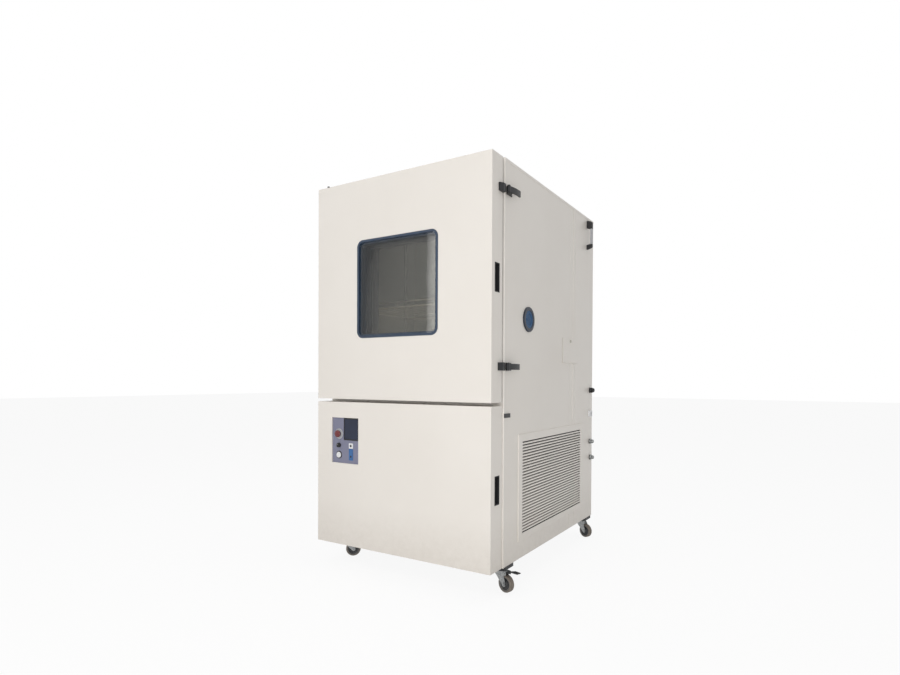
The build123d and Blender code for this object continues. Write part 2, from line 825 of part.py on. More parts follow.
# Condenser behind the side grille: end frames on feet, a finned block between them
condenser_x = (wall_x - condenser_gap - condenser_thickness, wall_x - condenser_gap)
condenser_y = (field_y[0] + condenser_margin, field_y[1] - condenser_margin)
condenser_middle_y = middle(condenser_y)
condenser_length = condenser_y[1] - condenser_y[0]
condenser_z = (pan_top_z + condenser_foot, pan_top_z + condenser_foot + condenser_height)
with BuildPart() as condenser_coil:
    core_x = (condenser_x[0] + condenser_fin_reach, condenser_x[1] - condenser_fin_reach)
    block(core_x, condenser_y, condenser_z)
    for end_y in condenser_y:
        end_span = (end_y - shroud_sheet, end_y + shroud_sheet)
        block(condenser_x, end_span, (pan_top_z, condenser_z[1]))
    condenser_pitch = condenser_length / condenser_fins
    for fin in range(1, condenser_fins):
        fin_y = condenser_y[0] + fin * condenser_pitch
        fin_span = (fin_y - condenser_fin_sheet / 2, fin_y + condenser_fin_sheet / 2)
        block(condenser_x, fin_span, condenser_z)
condenser_coil.part.label = "condenser_coil"
export_step(condenser_coil.part, "parts/condenser_coil.step")

# Shroud of the condenser fan: a plate against the coil, a ring, and three arms with the motor
blower_z = middle(condenser_z)
shroud_x = (condenser_x[0] - shroud_sheet, condenser_x[0])
ring_x = (shroud_x[0] - shroud_ring_length, shroud_x[0])
blower_motor_x = (ring_x[0] - blower_motor_length, ring_x[0])
with BuildPart() as condenser_shroud:
    shroud_y = (condenser_y[0] + shroud_inset, condenser_y[1] - shroud_inset)
    block(shroud_x, shroud_y, condenser_z)
    ring_start = (ring_x[0], condenser_middle_y, blower_z)
    rod(
        ring_start,
        (ring_x[1], condenser_middle_y, blower_z),
        shroud_ring_radius + shroud_ring_wall,
    )
    rod(
        ring_start,
        (shroud_x[1], condenser_middle_y, blower_z),
        shroud_ring_radius,
        mode=Mode.SUBTRACT,
    )
    arm_x = (ring_x[0] - shroud_arm[1], ring_x[0])
    with BuildSketch(side_plane(arm_x[0])) as arms:
        with Locations((condenser_middle_y, blower_z)):
            arm_reach = shroud_ring_radius + shroud_ring_wall
            with PolarLocations(arm_reach / 2, shroud_arms, start_angle=90.0):
                Rectangle(arm_reach, shroud_arm[0])
    extrude(arms.sketch, amount=shroud_arm[1])
    motor_start = (blower_motor_x[0], condenser_middle_y, blower_z)
    motor_stop = (ring_x[0], condenser_middle_y, blower_z)
    rod(motor_start, motor_stop, blower_motor_radius)
    rod(
        (ring_x[0] + blower_setback - blower_shaft_length - 1, condenser_middle_y, blower_z),
        motor_stop,
        blower_shaft_radius + shaft_gap,
        mode=Mode.SUBTRACT,
    )
condenser_shroud.part.label = "condenser_shroud"
export_step(condenser_shroud.part, "parts/condenser_shroud.step")

blower_x = ring_x[0] + blower_setback
with BuildPart() as condenser_fan:
    blower_start = (blower_x, condenser_middle_y, blower_z)
    blower_stop = (blower_x + blower_hub_length, condenser_middle_y, blower_z)
    rod(blower_start, blower_stop, blower_hub_radius)
    shaft_start = (blower_x - blower_shaft_length, condenser_middle_y, blower_z)
    rod(shaft_start, blower_start, blower_shaft_radius)
    twisted_blades(
        (blower_x + blower_hub_length / 2, condenser_middle_y, blower_z),
        (1, 0, 0),
        blower_blades,
        (blower_hub_radius - blade_root, blower_radius),
        blower_chord,
        fan_blade_sheet,
        blower_pitches,
    )
condenser_fan.part.label = "condenser_fan"
export_step(condenser_fan.part, "parts/condenser_fan.step")

# Compressor: a welded steel dome on rubber feet, with its suction and discharge pipes
with BuildPart() as compressor:
    shell_z = pan_top_z + compressor_foot
    peak_z = shell_z + compressor_height
    shoulder_z = peak_z - compressor_dome
    dome_x = compressor_middle[0] + compressor_radius
    with BuildSketch(Plane.XZ.offset(-compressor_middle[1])) as dome:
        with BuildLine():
            Polyline(
                (compressor_middle[0], peak_z),
                (compressor_middle[0], shell_z),
                (dome_x - compressor_skirt[0], shell_z),
                (dome_x, shell_z + compressor_skirt[1]),
                (dome_x, shoulder_z),
            )
            Bezier(
                (dome_x, shoulder_z),
                (dome_x, shoulder_z + dome_fullness * compressor_dome),
                (dome_x - (1 - dome_fullness) * compressor_radius, peak_z),
                (compressor_middle[0], peak_z),
            )
        make_face()
    dome_axis = Axis((compressor_middle[0], compressor_middle[1], 0), (0, 0, 1))
    revolve(dome.sketch, axis=dome_axis)
    with BuildSketch(level_plane(pan_top_z)) as feet:
        with Locations(compressor_middle):
            with PolarLocations(compressor_radius - foot_inset, compressor_feet):
                Circle(foot_radius)
    extrude(feet.sketch, amount=compressor_foot + foot_rise)
    suction_low = (compressor_middle[0], compressor_middle[1], peak_z - pipe_seat)
    rod(suction_low, (compressor_middle[0], compressor_middle[1], deck_z), pipe_radius)
    pipe_start_y = compressor_middle[1] - compressor_radius + pipe_seat
    pipe_start = (compressor_middle[0], pipe_start_y, pipe_z)
    pipe_bend_y = condenser_y[0] - pipe_loop
    with BuildLine() as pipe_run:
        FilletPolyline(
            pipe_start,
            (compressor_middle[0], pipe_bend_y, pipe_z),
            (middle(condenser_x), pipe_bend_y, pipe_z),
            (middle(condenser_x), condenser_y[0] - shroud_sheet, pipe_z),
            radius=pipe_loop / 2,
        )
    with BuildSketch(Plane(origin=pipe_start, z_dir=(0, -1, 0))) as pipe_section:
        Circle(pipe_radius)
    sweep(pipe_section.sketch, path=pipe_run.wire())
compressor.part.label = "compressor"
export_step(compressor.part, "parts/compressor.step")

# Humidifier boiler: an upright tank with a bolted lid and a steam outlet
with BuildPart() as humidifier_tank:
    tank_foot = (tank_middle[0], tank_middle[1], pan_top_z)
    tank_top_z = pan_top_z + tank_height
    rod(tank_foot, (tank_middle[0], tank_middle[1], tank_top_z), tank_radius)
    lid_z = tank_top_z + tank_lid
    lid_start = (tank_middle[0], tank_middle[1], tank_top_z)
    rod(lid_start, (tank_middle[0], tank_middle[1], lid_z), tank_radius + tank_lid_rim)
    outlet_start = (tank_middle[0], tank_middle[1], lid_z)
    rod(outlet_start, (tank_middle[0], tank_middle[1], deck_z), steam_pipe_radius)
humidifier_tank.part.label = "humidifier_tank"
export_step(humidifier_tank.part, "parts/humidifier_tank.step")

# Control gear: a footed plate on the deck with rows of contactors and terminals
with BuildPart() as control_gear:
    gear_y = back_y - gear_inset
    gear_x = gear_plate[0] / 2
    block((-gear_x, gear_x), (gear_y, gear_y + gear_sheet), (deck_top_z, deck_top_z + gear_plate[1]))
    foot_y = (gear_y - gear_foot, gear_y + gear_sheet)
    block((-gear_x, gear_x), foot_y, (deck_top_z, deck_top_z + gear_sheet))
    for gear_rise, gear_size, gear_count in gear_rows:
        with BuildSketch(face_plane(gear_y + gear_sheet)) as gear_row:
            with Locations((0, deck_top_z + gear_rise)):
                with GridLocations(gear_size + gear_spacing, 1, gear_count, 1):
                    Rectangle(gear_size, gear_block[0])
        extrude(gear_row.sketch, amount=-gear_block[1])
control_gear.part.label = "control_gear"
export_step(control_gear.part, "parts/control_gear.step")

# Side grille: a bevelled plate over the opening, cut by the slots, with a sloped blade over each
grille_x = (skin_x, skin_x + grille_thickness)
louvre_length = field_y[1] - field_y[0]
louvre_z = base_z + louvre_middle_rise
with BuildPart() as side_grille:
    block(grille_x, grille_y, (base_z + grille_rises[0], base_z + grille_rises[1]))
    chamfer(side_grille.faces().sort_by(Axis.X)[-1].edges(), length=grille_bevel)
    field_height = louvre_pitch * louvre_count
    field_z = (louvre_z - field_height / 2, louvre_z + field_height / 2)
    block((grille_x[0], grille_x[1] - louvre_face), field_y, field_z, mode=Mode.SUBTRACT)
    with BuildSketch(side_plane(grille_x[0])):
        with Locations((middle(field_y), louvre_z)):
            with GridLocations(1, louvre_pitch, 1, louvre_count):
                Rectangle(louvre_length, louvre_gap)
    extrude(amount=grille_thickness, mode=Mode.SUBTRACT)
    blade_root_x = grille_x[1] - louvre_face
    with BuildSketch(face_plane(field_y[1])) as blades:
        for louvre in range(louvre_count - 1):
            bar_low = louvre_z + (louvre - (louvre_count - 1) / 2) * louvre_pitch + louvre_gap / 2
            root = (blade_root_x, bar_low + louvre_blade_sheet)
            tip = (blade_root_x - louvre_blade, bar_low + louvre_blade_sheet + louvre_drop)
            Polygon(
                (root[0] + louvre_face / 2, root[1] - louvre_blade_sheet),
                (root[0] + louvre_face / 2, root[1]),
                (root[0], root[1]),
                (tip[0], tip[1]),
                (tip[0], tip[1] - louvre_blade_sheet),
                (root[0], root[1] - louvre_blade_sheet),
                align=None,
            )
    extrude(blades.sketch, amount=louvre_length)
side_grille.part.label = "side_grille"
export_step(side_grille.part, "parts/side_grille.step")

# Cable port: a tube through the wall with a flange outside, and its silicone plug
flange_face_x = skin_x + port_flange_thickness
port_axis = Axis((0, port_y, port_z), (1, 0, 0))
with BuildPart() as port_flange:
    with BuildSketch(Plane(origin=(0, port_y, port_z), x_dir=(1, 0, 0), z_dir=(0, -1, 0))) as ring:
        tube_x = (cavity_x, skin_x)
        with Locations((middle(tube_x), port_bore_radius + port_tube / 2)):
            Rectangle(tube_x[1] - tube_x[0], port_tube)
        flange_width = port_flange_radius - port_bore_radius
        with Locations((middle((skin_x, flange_face_x)), port_bore_radius + flange_width / 2)):
            Rectangle(port_flange_thickness, flange_width)
        outer_corners = ring.vertices().group_by(Axis.X)[-1]
        fillet(outer_corners, radius=port_flange_round)
    revolve(ring.sketch, axis=port_axis)
port_flange.part.label = "port_flange"
export_step(port_flange.part, "parts/port_flange.step")

plug_face_x = flange_face_x - plug_recess
with BuildPart() as port_plug:
    with BuildSketch(Plane(origin=(0, port_y, port_z), x_dir=(1, 0, 0), z_dir=(0, -1, 0))) as half:
        plug_radius = port_bore_radius - plug_fit
        Polygon(
            (cavity_x + liner_sheet, 0),
            (cavity_x + liner_sheet, plug_radius - plug_taper),
            (plug_face_x, plug_radius),
            (plug_face_x, plug_dish_radius),
            (plug_face_x - plug_dish, plug_dish_radius - plug_dish),
            (plug_face_x - plug_dish, 0),
            align=None,
        )
    revolve(half.sketch, axis=port_axis)
    grip_x = (plug_face_x - plug_dish, plug_face_x)
    grip_y = (port_y - plug_grip[0] / 2, port_y + plug_grip[0] / 2)
    block(grip_x, grip_y, (port_z - plug_grip[1] / 2, port_z + plug_grip[1] / 2))
port_plug.part.label = "port_plug"
export_step(port_plug.part, "parts/port_plug.step")

# Access hatch: a flat door that folds down about the rolled edge along its foot
hatch_x = (skin_x + hatch_stand, skin_x + hatch_stand + hatch_sheet)
lock_y = middle(hatch_y)
lock_z = base_z + lock_rise
lock_hole_radius = lock_barrel_radius + device_gap
with BuildPart() as access_hatch:
    hatch_z = (hatch_axis_z, base_z + hatch_rises[1])
    block(hatch_x, hatch_y, hatch_z)
    fillet(
        access_hatch.edges().filter_by(Axis.X).group_by(Axis.Z)[-1], radius=hatch_corner
    )
    foot_start = (hatch_axis_x, hatch_y[0], hatch_axis_z)
    rod(foot_start, (hatch_axis_x, hatch_y[1], hatch_axis_z), hatch_roll)
    pin_start = (hatch_axis_x, hatch_y[0] - hatch_pin_reach, hatch_axis_z)
    rod(pin_start, (hatch_axis_x, hatch_y[1] + hatch_pin_reach, hatch_axis_z), hatch_pin_radius)
    rod((skin_x, lock_y, lock_z), (rim_x + hatch_sheet, lock_y, lock_z), lock_hole_radius, Mode.SUBTRACT)
access_hatch.part.label = "access_hatch"
export_step(access_hatch.part, "parts/access_hatch.step")

with BuildPart() as hatch_lock:
    rod((hatch_x[0], lock_y, lock_z), (hatch_x[1] + device_gap, lock_y, lock_z), lock_barrel_radius)
    head_start = (hatch_x[1] + device_gap, lock_y, lock_z)
    head_end_x = hatch_x[1] + device_gap + lock_head
    rod(head_start, (head_end_x, lock_y, lock_z), lock_radius)
    key_x = (head_end_x - lock_head / 2, head_end_x)
    key_z = (lock_z - lock_slot[1] / 2, lock_z + lock_slot[1] / 2)
    block(key_x, (lock_y - lock_slot[0] / 2, lock_y + lock_slot[0] / 2), key_z, Mode.SUBTRACT)
hatch_lock.part.label = "hatch_lock"
export_step(hatch_lock.part, "parts/hatch_lock.step")

# Connections at the rear edge: cable gland, data socket and two water fittings
with BuildPart() as side_connectors:
    gland_y = back_y - gland_middle[0]
    gland_z = base_z + gland_middle[1]
    with BuildSketch(side_plane(skin_x)) as gland_nut:
        with Locations((gland_y, gland_z)):
            RegularPolygon(gland_radius, hexagon)
    extrude(gland_nut.sketch, amount=gland_reach / 2)
    gland_mid = (skin_x + gland_reach / 2, gland_y, gland_z)
    rod(gland_mid, (skin_x + gland_reach, gland_y, gland_z), gland_radius - gland_step)
    socket_y = back_y - data_socket_middle[0]
    socket_z = base_z + data_socket_middle[1]
    half_socket = data_socket_size / 2
    block(
        (skin_x, skin_x + data_socket_reach),
        (socket_y - half_socket, socket_y + half_socket),
        (socket_z - half_socket, socket_z + half_socket),
    )
    for fitting_inset, fitting_rise in fitting_middles:
        fitting_y = back_y - fitting_inset
        fitting_z = base_z + fitting_rise
        with BuildSketch(side_plane(skin_x)) as fitting_nut:
            with Locations((fitting_y, fitting_z)):
                RegularPolygon(fitting_radius, hexagon)
        extrude(fitting_nut.sketch, amount=fitting_reach / 2)
        fitting_mid = (skin_x + fitting_reach / 2, fitting_y, fitting_z)
        rod(fitting_mid, (skin_x + fitting_reach, fitting_y, fitting_z), fitting_radius - fitting_step)
side_connectors.part.label = "side_connectors"
export_step(side_connectors.part, "parts/side_connectors.step")

# Bow grab handle near the top rear corner
with BuildPart() as rear_grab_handle:
    grab_y = back_y - grab_inset
    grab_z = (base_z + grab_rises[0], base_z + grab_rises[1])
    with BuildSketch(Plane(origin=(0, grab_y + grab_width / 2, 0), x_dir=(1, 0, 0), z_dir=(0, -1, 0))) as bow:
        with BuildLine():
            FilletPolyline(
                (skin_x, grab_z[0]),
                (skin_x + grab_reach, grab_z[0] + grab_foot / 2),
                (skin_x + grab_reach, grab_z[1] - grab_foot / 2),
                (skin_x, grab_z[1]),
                radius=grab_foot / 2,
            )
            Line((skin_x, grab_z[1]), (skin_x, grab_z[1] - grab_foot))
            FilletPolyline(
                (skin_x, grab_z[1] - grab_foot),
                (skin_x + grab_reach - grab_bar, grab_z[1] - grab_foot - grab_taper),
                (skin_x + grab_reach - grab_bar, grab_z[0] + grab_foot + grab_taper),
                (skin_x, grab_z[0] + grab_foot),
                radius=grab_foot / 4,
            )
            Line((skin_x, grab_z[0] + grab_foot), (skin_x, grab_z[0]))
        make_face()
    extrude(bow.sketch, amount=grab_width)
rear_grab_handle.part.label = "rear_grab_handle"
export_step(rear_grab_handle.part, "parts/rear_grab_handle.step")


# Upper door: painted tray, insulation, stainless inner panel with the step for the mouth
def door_tray(z, depth):
    block((-door_x, door_x), (front_y, front_y + depth), z)


def edge_fillet(piece, radius):
    outer = piece.edges().filter_by(Axis.Z).group_by(Axis.Y)[0]
    fillet(outer, radius=radius)


def pocket_hole(place, mode_gap, reach):
    pocket_y = front_y + place[0]
    pocket_z = base_z + place[1]
    half_width = pocket_width / 2 - pocket_lip + pocket_wall + mode_gap
    half_height = pocket_height / 2 - pocket_lip + pocket_wall + mode_gap
    block(
        (door_x - reach, door_x + pocket_face),
        (pocket_y - half_width, pocket_y + half_width),
        (pocket_z - half_height, pocket_z + half_height),
        mode=Mode.SUBTRACT,
    )


upper_z = (upper_door_z, top_z)
upper_liner_y = upper_door_back_y - door_sheet
window_spot = (window_x, window_z)
window_hole = (sleeve_width, sleeve_height)
with BuildPart() as upper_door_shell:
    door_tray(upper_z, upper_door_thickness - door_sheet)
    edge_fillet(upper_door_shell, door_fold)
    block(
        (-door_x + door_sheet, door_x - door_sheet),
        (front_y + door_sheet, upper_liner_y),
        (upper_z[0] + door_sheet, upper_z[1] - door_sheet),
        mode=Mode.SUBTRACT,
    )
    front_skin_y = (front_y, front_y + door_sheet)
    front_plate(window_spot, window_hole, sleeve_corner, front_skin_y, Mode.SUBTRACT)
    pocket_hole(upper_pocket, pocket_clearance, 4 * door_sheet)
upper_door_shell.part.label = "upper_door_shell"
export_step(upper_door_shell.part, "parts/upper_door_shell.step")

plug_size = (chamber_width - 2 * plug_gap, chamber_height - 2 * plug_gap)
with BuildPart() as upper_door_insulation:
    block(
        (-door_x + door_sheet, door_x - door_sheet),
        (front_y + door_sheet, upper_liner_y),
        (upper_z[0] + door_sheet, upper_z[1] - door_sheet),
    )
    core_size = (plug_size[0] - 2 * liner_sheet, plug_size[1] - 2 * liner_sheet)
    core_y = (upper_liner_y, plug_back_y - liner_sheet)
    front_plate((0, chamber_mid_z), core_size, plug_round, core_y)
    hole_y = (front_y, plug_back_y)
    front_plate(window_spot, window_hole, sleeve_corner, hole_y, Mode.SUBTRACT)
    pocket_hole(upper_pocket, pocket_clearance, pocket_reach + pocket_wall + pocket_clearance)
upper_door_insulation.part.label = "upper_door_insulation"
export_step(upper_door_insulation.part, "parts/upper_door_insulation.step")

with BuildPart() as upper_door_liner:
    block((-door_x, door_x), (upper_liner_y, upper_door_back_y), upper_z)
    step_y = (upper_door_back_y, plug_back_y)
    front_plate((0, chamber_mid_z), plug_size, plug_round, step_y)
    fillet(upper_door_liner.faces().sort_by(Axis.Y)[-1].edges(), radius=liner_sheet)
    hollow_y = (upper_liner_y, plug_back_y - liner_sheet)
    front_plate((0, chamber_mid_z), core_size, plug_round, hollow_y, Mode.SUBTRACT)
    through_y = (upper_liner_y, plug_back_y)
    front_plate(window_spot, window_hole, sleeve_corner, through_y, Mode.SUBTRACT)
upper_door_liner.part.label = "upper_door_liner"
export_step(upper_door_liner.part, "parts/upper_door_liner.step")

# Window: an outer face with a sleeve, six panes with spacers between, an inner clamping face
clear_size = (window_width - 2 * window_face, window_height - 2 * window_face)
clear_corner = window_corner - window_face
pane_start_y = front_y + pane_setback
pane_stack = pane_pitch * (pane_count - 1) + pane_thickness
with BuildPart() as window_frame:
    face_y = (front_y - window_face_depth, front_y)
    front_plate(window_spot, (window_width, window_height), window_corner, face_y)
    fillet(window_frame.faces().sort_by(Axis.Y)[0].edges(), radius=window_face_depth / 2)
    sleeve_y = (front_y, plug_back_y)
    front_plate(window_spot, window_hole, sleeve_corner, sleeve_y)
    inner_y = (plug_back_y, plug_back_y + inner_face_depth)
    inner_size = (clear_size[0] + inner_face_width, clear_size[1] + inner_face_width)
    front_plate(window_spot, inner_size, window_corner, inner_y)
    clear_y = (face_y[0], inner_y[1])
    front_plate(window_spot, clear_size, clear_corner, clear_y, Mode.SUBTRACT)
window_frame.part.label = "window_frame"
export_step(window_frame.part, "parts/window_frame.step")

pane_size = (clear_size[0] - pane_gap, clear_size[1] - pane_gap)
with BuildPart() as window_panes:
    for pane in range(pane_count):
        pane_y = pane_start_y + pane * pane_pitch
        front_plate(window_spot, pane_size, clear_corner, (pane_y, pane_y + pane_thickness))
window_panes.part.label = "window_panes"
export_step(window_panes.part, "parts/window_panes.step")

spacer_inner = (pane_size[0] - 2 * spacer_width, pane_size[1] - 2 * spacer_width)
with BuildPart() as window_spacers:
    for spacer in range(pane_count - 1):
        spacer_y = pane_start_y + spacer * pane_pitch + pane_thickness
        spacer_span = (spacer_y, spacer_y + pane_pitch - pane_thickness)
        front_plate(window_spot, clear_size, clear_corner, spacer_span)
        hole_corner = clear_corner - spacer_width
        front_plate(window_spot, spacer_inner, hole_corner, spacer_span, Mode.SUBTRACT)
    stack_end_y = pane_start_y + pane_stack
    clamp_span = (stack_end_y, stack_end_y + spacer_width)
    front_plate(window_spot, clear_size, clear_corner, clamp_span)
    front_plate(window_spot, spacer_inner, hole_corner, clamp_span, Mode.SUBTRACT)
window_spacers.part.label = "window_spacers"
export_step(window_spacers.part, "parts/window_spacers.step")

# Door gasket: a silicone frame near the edge of the upper door
with BuildPart() as door_gasket:
    gasket_z = middle(upper_z)
    gasket_size = (door_width - 2 * gasket_inset, upper_door_height - 2 * gasket_inset)
    gasket_y = (upper_door_back_y, rim_y - gasket_gap)
    front_plate((0, gasket_z), gasket_size, 2 * gasket_inset, gasket_y)
    gasket_hole = (gasket_size[0] - 2 * gasket_width, gasket_size[1] - 2 * gasket_width)
    front_plate((0, gasket_z), gasket_hole, gasket_inset, gasket_y, Mode.SUBTRACT)
door_gasket.part.label = "door_gasket"
export_step(door_gasket.part, "parts/door_gasket.step")


# Grip pocket: a moulded cup with a thin lip on the door's edge
def grip_pocket(place):
    pocket_y = front_y + place[0]
    pocket_z = base_z + place[1]
    lip_x = (door_x, door_x + pocket_face)
    cup_x = (door_x - pocket_reach - pocket_wall, door_x)
    half_width = pocket_width / 2
    half_height = pocket_height / 2
    inset = pocket_lip - pocket_wall
    block(
        lip_x,
        (pocket_y - half_width, pocket_y + half_width),
        (pocket_z - half_height, pocket_z + half_height),
    )
    block(
        cup_x,
        (pocket_y - half_width + inset, pocket_y + half_width - inset),
        (pocket_z - half_height + inset, pocket_z + half_height - inset),
    )
    block(
        (cup_x[0] + pocket_wall, lip_x[1]),
        (pocket_y - half_width + pocket_lip, pocket_y + half_width - pocket_lip),
        (pocket_z - half_height + pocket_lip, pocket_z + half_height - pocket_lip),
        mode=Mode.SUBTRACT,
    )


with BuildPart() as upper_handle_pocket:
    grip_pocket(upper_pocket)
    fillet(upper_handle_pocket.edges().filter_by(Axis.X), radius=pocket_wall / 2)
upper_handle_pocket.part.label = "upper_handle_pocket"
export_step(upper_handle_pocket.part, "parts/upper_handle_pocket.step")

# Hinges: the cabinet's half carries the pin, the door's half turns on it
def hinge_body_half(hinge_z):
    low_z = hinge_z - hinge_knuckle
    leaf_y = rim_back_y + hinge_leaf_inset
    with BuildSketch(level_plane(low_z)) as leaf:
        Polygon(
            (-skin_x, leaf_y),
            (-skin_x, leaf_y + hinge_leaf_reach),
            (-skin_x - hinge_leaf, leaf_y + hinge_leaf_reach),
            (-skin_x - hinge_leaf, leaf_y),
            (hinge_x + body_arm[0][0], hinge_y + body_arm[0][1]),
            (hinge_x, hinge_y),
            (hinge_x + body_arm[1][0], hinge_y + body_arm[1][1]),
            (-rim_x - hinge_arm_gap, rim_back_y - 2 * hinge_arm_gap),
            (-rim_x - hinge_arm_gap, leaf_y),
            align=None,
        )
        with Locations((hinge_x, hinge_y)):
            Circle(hinge_radius)
    extrude(leaf.sketch, amount=hinge_knuckle)
    rod((hinge_x, hinge_y, hinge_z), (hinge_x, hinge_y, hinge_z + hinge_knuckle), hinge_pin_radius)


def hinge_door_half(hinge_z):
    low_z = hinge_z + hinge_washer
    leaf_y = upper_door_back_y - hinge_leaf_inset
    with BuildSketch(level_plane(low_z)) as leaf:
        Polygon(
            (-door_x, leaf_y - hinge_leaf_reach),
            (-door_x, leaf_y),
            (hinge_x + door_arm[0][0], hinge_y + door_arm[0][1]),
            (hinge_x, hinge_y),
            (hinge_x + door_arm[1][0], hinge_y + door_arm[1][1]),
            (-door_x - hinge_leaf, leaf_y - hinge_leaf_reach / 2),
            (-door_x - hinge_leaf, leaf_y - hinge_leaf_reach),
            align=None,
        )
        with Locations((hinge_x, hinge_y)):
            Circle(hinge_radius)
            Circle(hinge_pin_radius + hinge_bore_gap, mode=Mode.SUBTRACT)
    extrude(leaf.sketch, amount=hinge_knuckle)


# Fittings of the upper door: hinge halves, two latch strikes on its edge, a cap on its top
with BuildPart() as upper_door_fittings:
    for hinge_rise in hinge_rises[2:]:
        hinge_door_half(base_z + hinge_rise)
    for latch_rise in latch_rises:
        strike_z = base_z + latch_rise
        with BuildSketch(level_plane(strike_z - latch_height / 2)) as strike:
            near_y = front_y + strike_depths[0]
            far_y = front_y + strike_depths[1]
            Polygon(
                (door_x, near_y),
                (door_x + strike_nose, near_y),
                (door_x + strike_out, near_y + strike_out),
                (door_x + strike_out, far_y),
                (door_x, far_y),
                align=None,
            )
        extrude(strike.sketch, amount=latch_height)
    cap_spot = (cap_middle[0] - door_x, front_y + cap_middle[1])
    cap_start = (cap_spot[0], cap_spot[1], top_z)
    rod(cap_start, (cap_spot[0], cap_spot[1], top_z + cap_height), cap_radius)
upper_door_fittings.part.label = "upper_door_fittings"
export_step(upper_door_fittings.part, "parts/upper_door_fittings.step")

# Fittings of the cabinet: hinge halves, latch bases with two ears and a pin, a side catch
latch_pivot_x = rim_x + latch_pivot_out
latch_pivot_y = front_y + latch_pivot_depth
with BuildPart() as cabinet_fittings:
    for hinge_rise in hinge_rises:
        hinge_body_half(base_z + hinge_rise)
    for latch_rise in latch_rises:
        latch_z = base_z + latch_rise
        base_y = (front_y + latch_base[0], front_y + latch_base[1])
        base_x = (skin_x, skin_x + latch_base_sheet)
        latch_span = (latch_z - latch_height / 2, latch_z + latch_height / 2)
        block(base_x, base_y, latch_span)
        for ear_z in (latch_span[0], latch_span[1] - latch_ear):
            with BuildSketch(level_plane(ear_z)) as ear:
                with Locations((latch_pivot_x, latch_pivot_y)):
                    Circle(latch_ear_radius)
                Polygon(
                    (base_x[0] + rim_proud + latch_gap, base_y[0]),
                    *[(latch_pivot_x + x, latch_pivot_y + y) for x, y in latch_ear_points],
                    (base_x[1], base_y[1]),
                    (base_x[0] + rim_proud + latch_gap, base_y[1]),
                    align=None,
                )
            extrude(ear.sketch, amount=latch_ear)
        pin_low = (latch_pivot_x, latch_pivot_y, latch_span[0])
        rod(pin_low, (latch_pivot_x, latch_pivot_y, latch_span[1]), latch_pin_radius)
    catch_z = base_z + catch_rise
    catch_span = (catch_z - catch_height / 2, catch_z + catch_height / 2)
    catch_end_y = front_y + catch_depths[1]
    block((skin_x, skin_x + catch_out), (rim_back_y, catch_end_y), catch_span)
    catch_start_y = front_y + catch_depths[0]
    block((rim_x, skin_x + catch_out), (catch_start_y, rim_back_y), catch_span)
cabinet_fittings.part.label = "cabinet_fittings"
export_step(cabinet_fittings.part, "parts/cabinet_fittings.step")


# Latch lever: a boss between the ears and a bowed grip that runs back along the side
def latch_lever(latch_z):
    inner_half = latch_height / 2 - latch_ear - latch_gap
    with BuildSketch(level_plane(latch_z - inner_half)) as lever:
        with Locations((latch_pivot_x, latch_pivot_y)):
            Circle(latch_boss_radius)
        nose_y = front_y + latch_nose_depth
        Polygon(
            (latch_pivot_x - latch_boss_radius / 2, latch_pivot_y),
            (latch_pivot_x + latch_nose[0], nose_y),
            (latch_pivot_x + latch_nose[1], nose_y),
            (latch_pivot_x + latch_boss_radius - lever_shoulder, latch_pivot_y),
            align=None,
        )
        end_y = front_y + lever_end_depth
        mid_y = middle((latch_pivot_y, end_y))
        with BuildLine():
            low_x = latch_pivot_x - lever_root
            ThreePointArc(
                (low_x, latch_pivot_y), (low_x + lever_bow, mid_y), (low_x + lever_bow, end_y)
            )
            Line((low_x + lever_bow, end_y), (low_x + lever_bow + lever_thickness, end_y))
            ThreePointArc(
                (low_x + lever_bow + lever_thickness, end_y),
                (low_x + lever_bow + lever_thickness, mid_y),
                (low_x + lever_thickness, latch_pivot_y),
            )
            Line((low_x + lever_thickness, latch_pivot_y), (low_x, latch_pivot_y))
        make_face()
        with Locations((latch_pivot_x, latch_pivot_y)):
            Circle(latch_pin_radius + hinge_bore_gap, mode=Mode.SUBTRACT)
    extrude(lever.sketch, amount=2 * inner_half)


with BuildPart() as lower_latch_handle:
    latch_lever(base_z + latch_rises[0])
lower_latch_handle.part.label = "lower_latch_handle"
export_step(lower_latch_handle.part, "parts/lower_latch_handle.step")

with BuildPart() as upper_latch_handle:
    latch_lever(base_z + latch_rises[1])
upper_latch_handle.part.label = "upper_latch_handle"
export_step(upper_latch_handle.part, "parts/upper_latch_handle.step")


with BuildPart() as lower_door_hinges:
    for hinge_rise in hinge_rises[:2]:
        hinge_door_half(base_z + hinge_rise)
lower_door_hinges.part.label = "lower_door_hinges"
export_step(lower_door_hinges.part, "parts/lower_door_hinges.step")

# Lower door: a deep tray with folded returns at the back and a recessed control field
lower_z = (base_z, lower_door_top_z)
control_x = (control_left - door_x, control_left + control_width - door_x)
control_z = (base_z + control_rise, base_z + control_rise + control_height)
plate_y = front_y + control_recess
with BuildPart() as lower_door_shell:
    door_tray(lower_z, lower_door_thickness)
    edge_fillet(lower_door_shell, door_fold)
    block(
        (-door_x + door_sheet, door_x - door_sheet),
        (front_y + door_sheet, lower_door_back_y - door_sheet),
        (lower_z[0] + door_sheet, lower_z[1] - door_sheet),
        mode=Mode.SUBTRACT,
    )
    block(
        (-door_x + return_width, door_x - return_width),
        (lower_door_back_y - door_sheet, lower_door_back_y),
        (lower_z[0] + return_width, lower_z[1] - return_width),
        mode=Mode.SUBTRACT,
    )
    block(
        (control_x[0] - door_sheet, control_x[1] + door_sheet),
        (front_y, plate_y),
        (control_z[0] - door_sheet, control_z[1] + door_sheet),
    )
    block(control_x, (front_y, plate_y), control_z, mode=Mode.SUBTRACT)
    pocket_hole(lower_pocket, pocket_clearance, 4 * door_sheet)
lower_door_shell.part.label = "lower_door_shell"
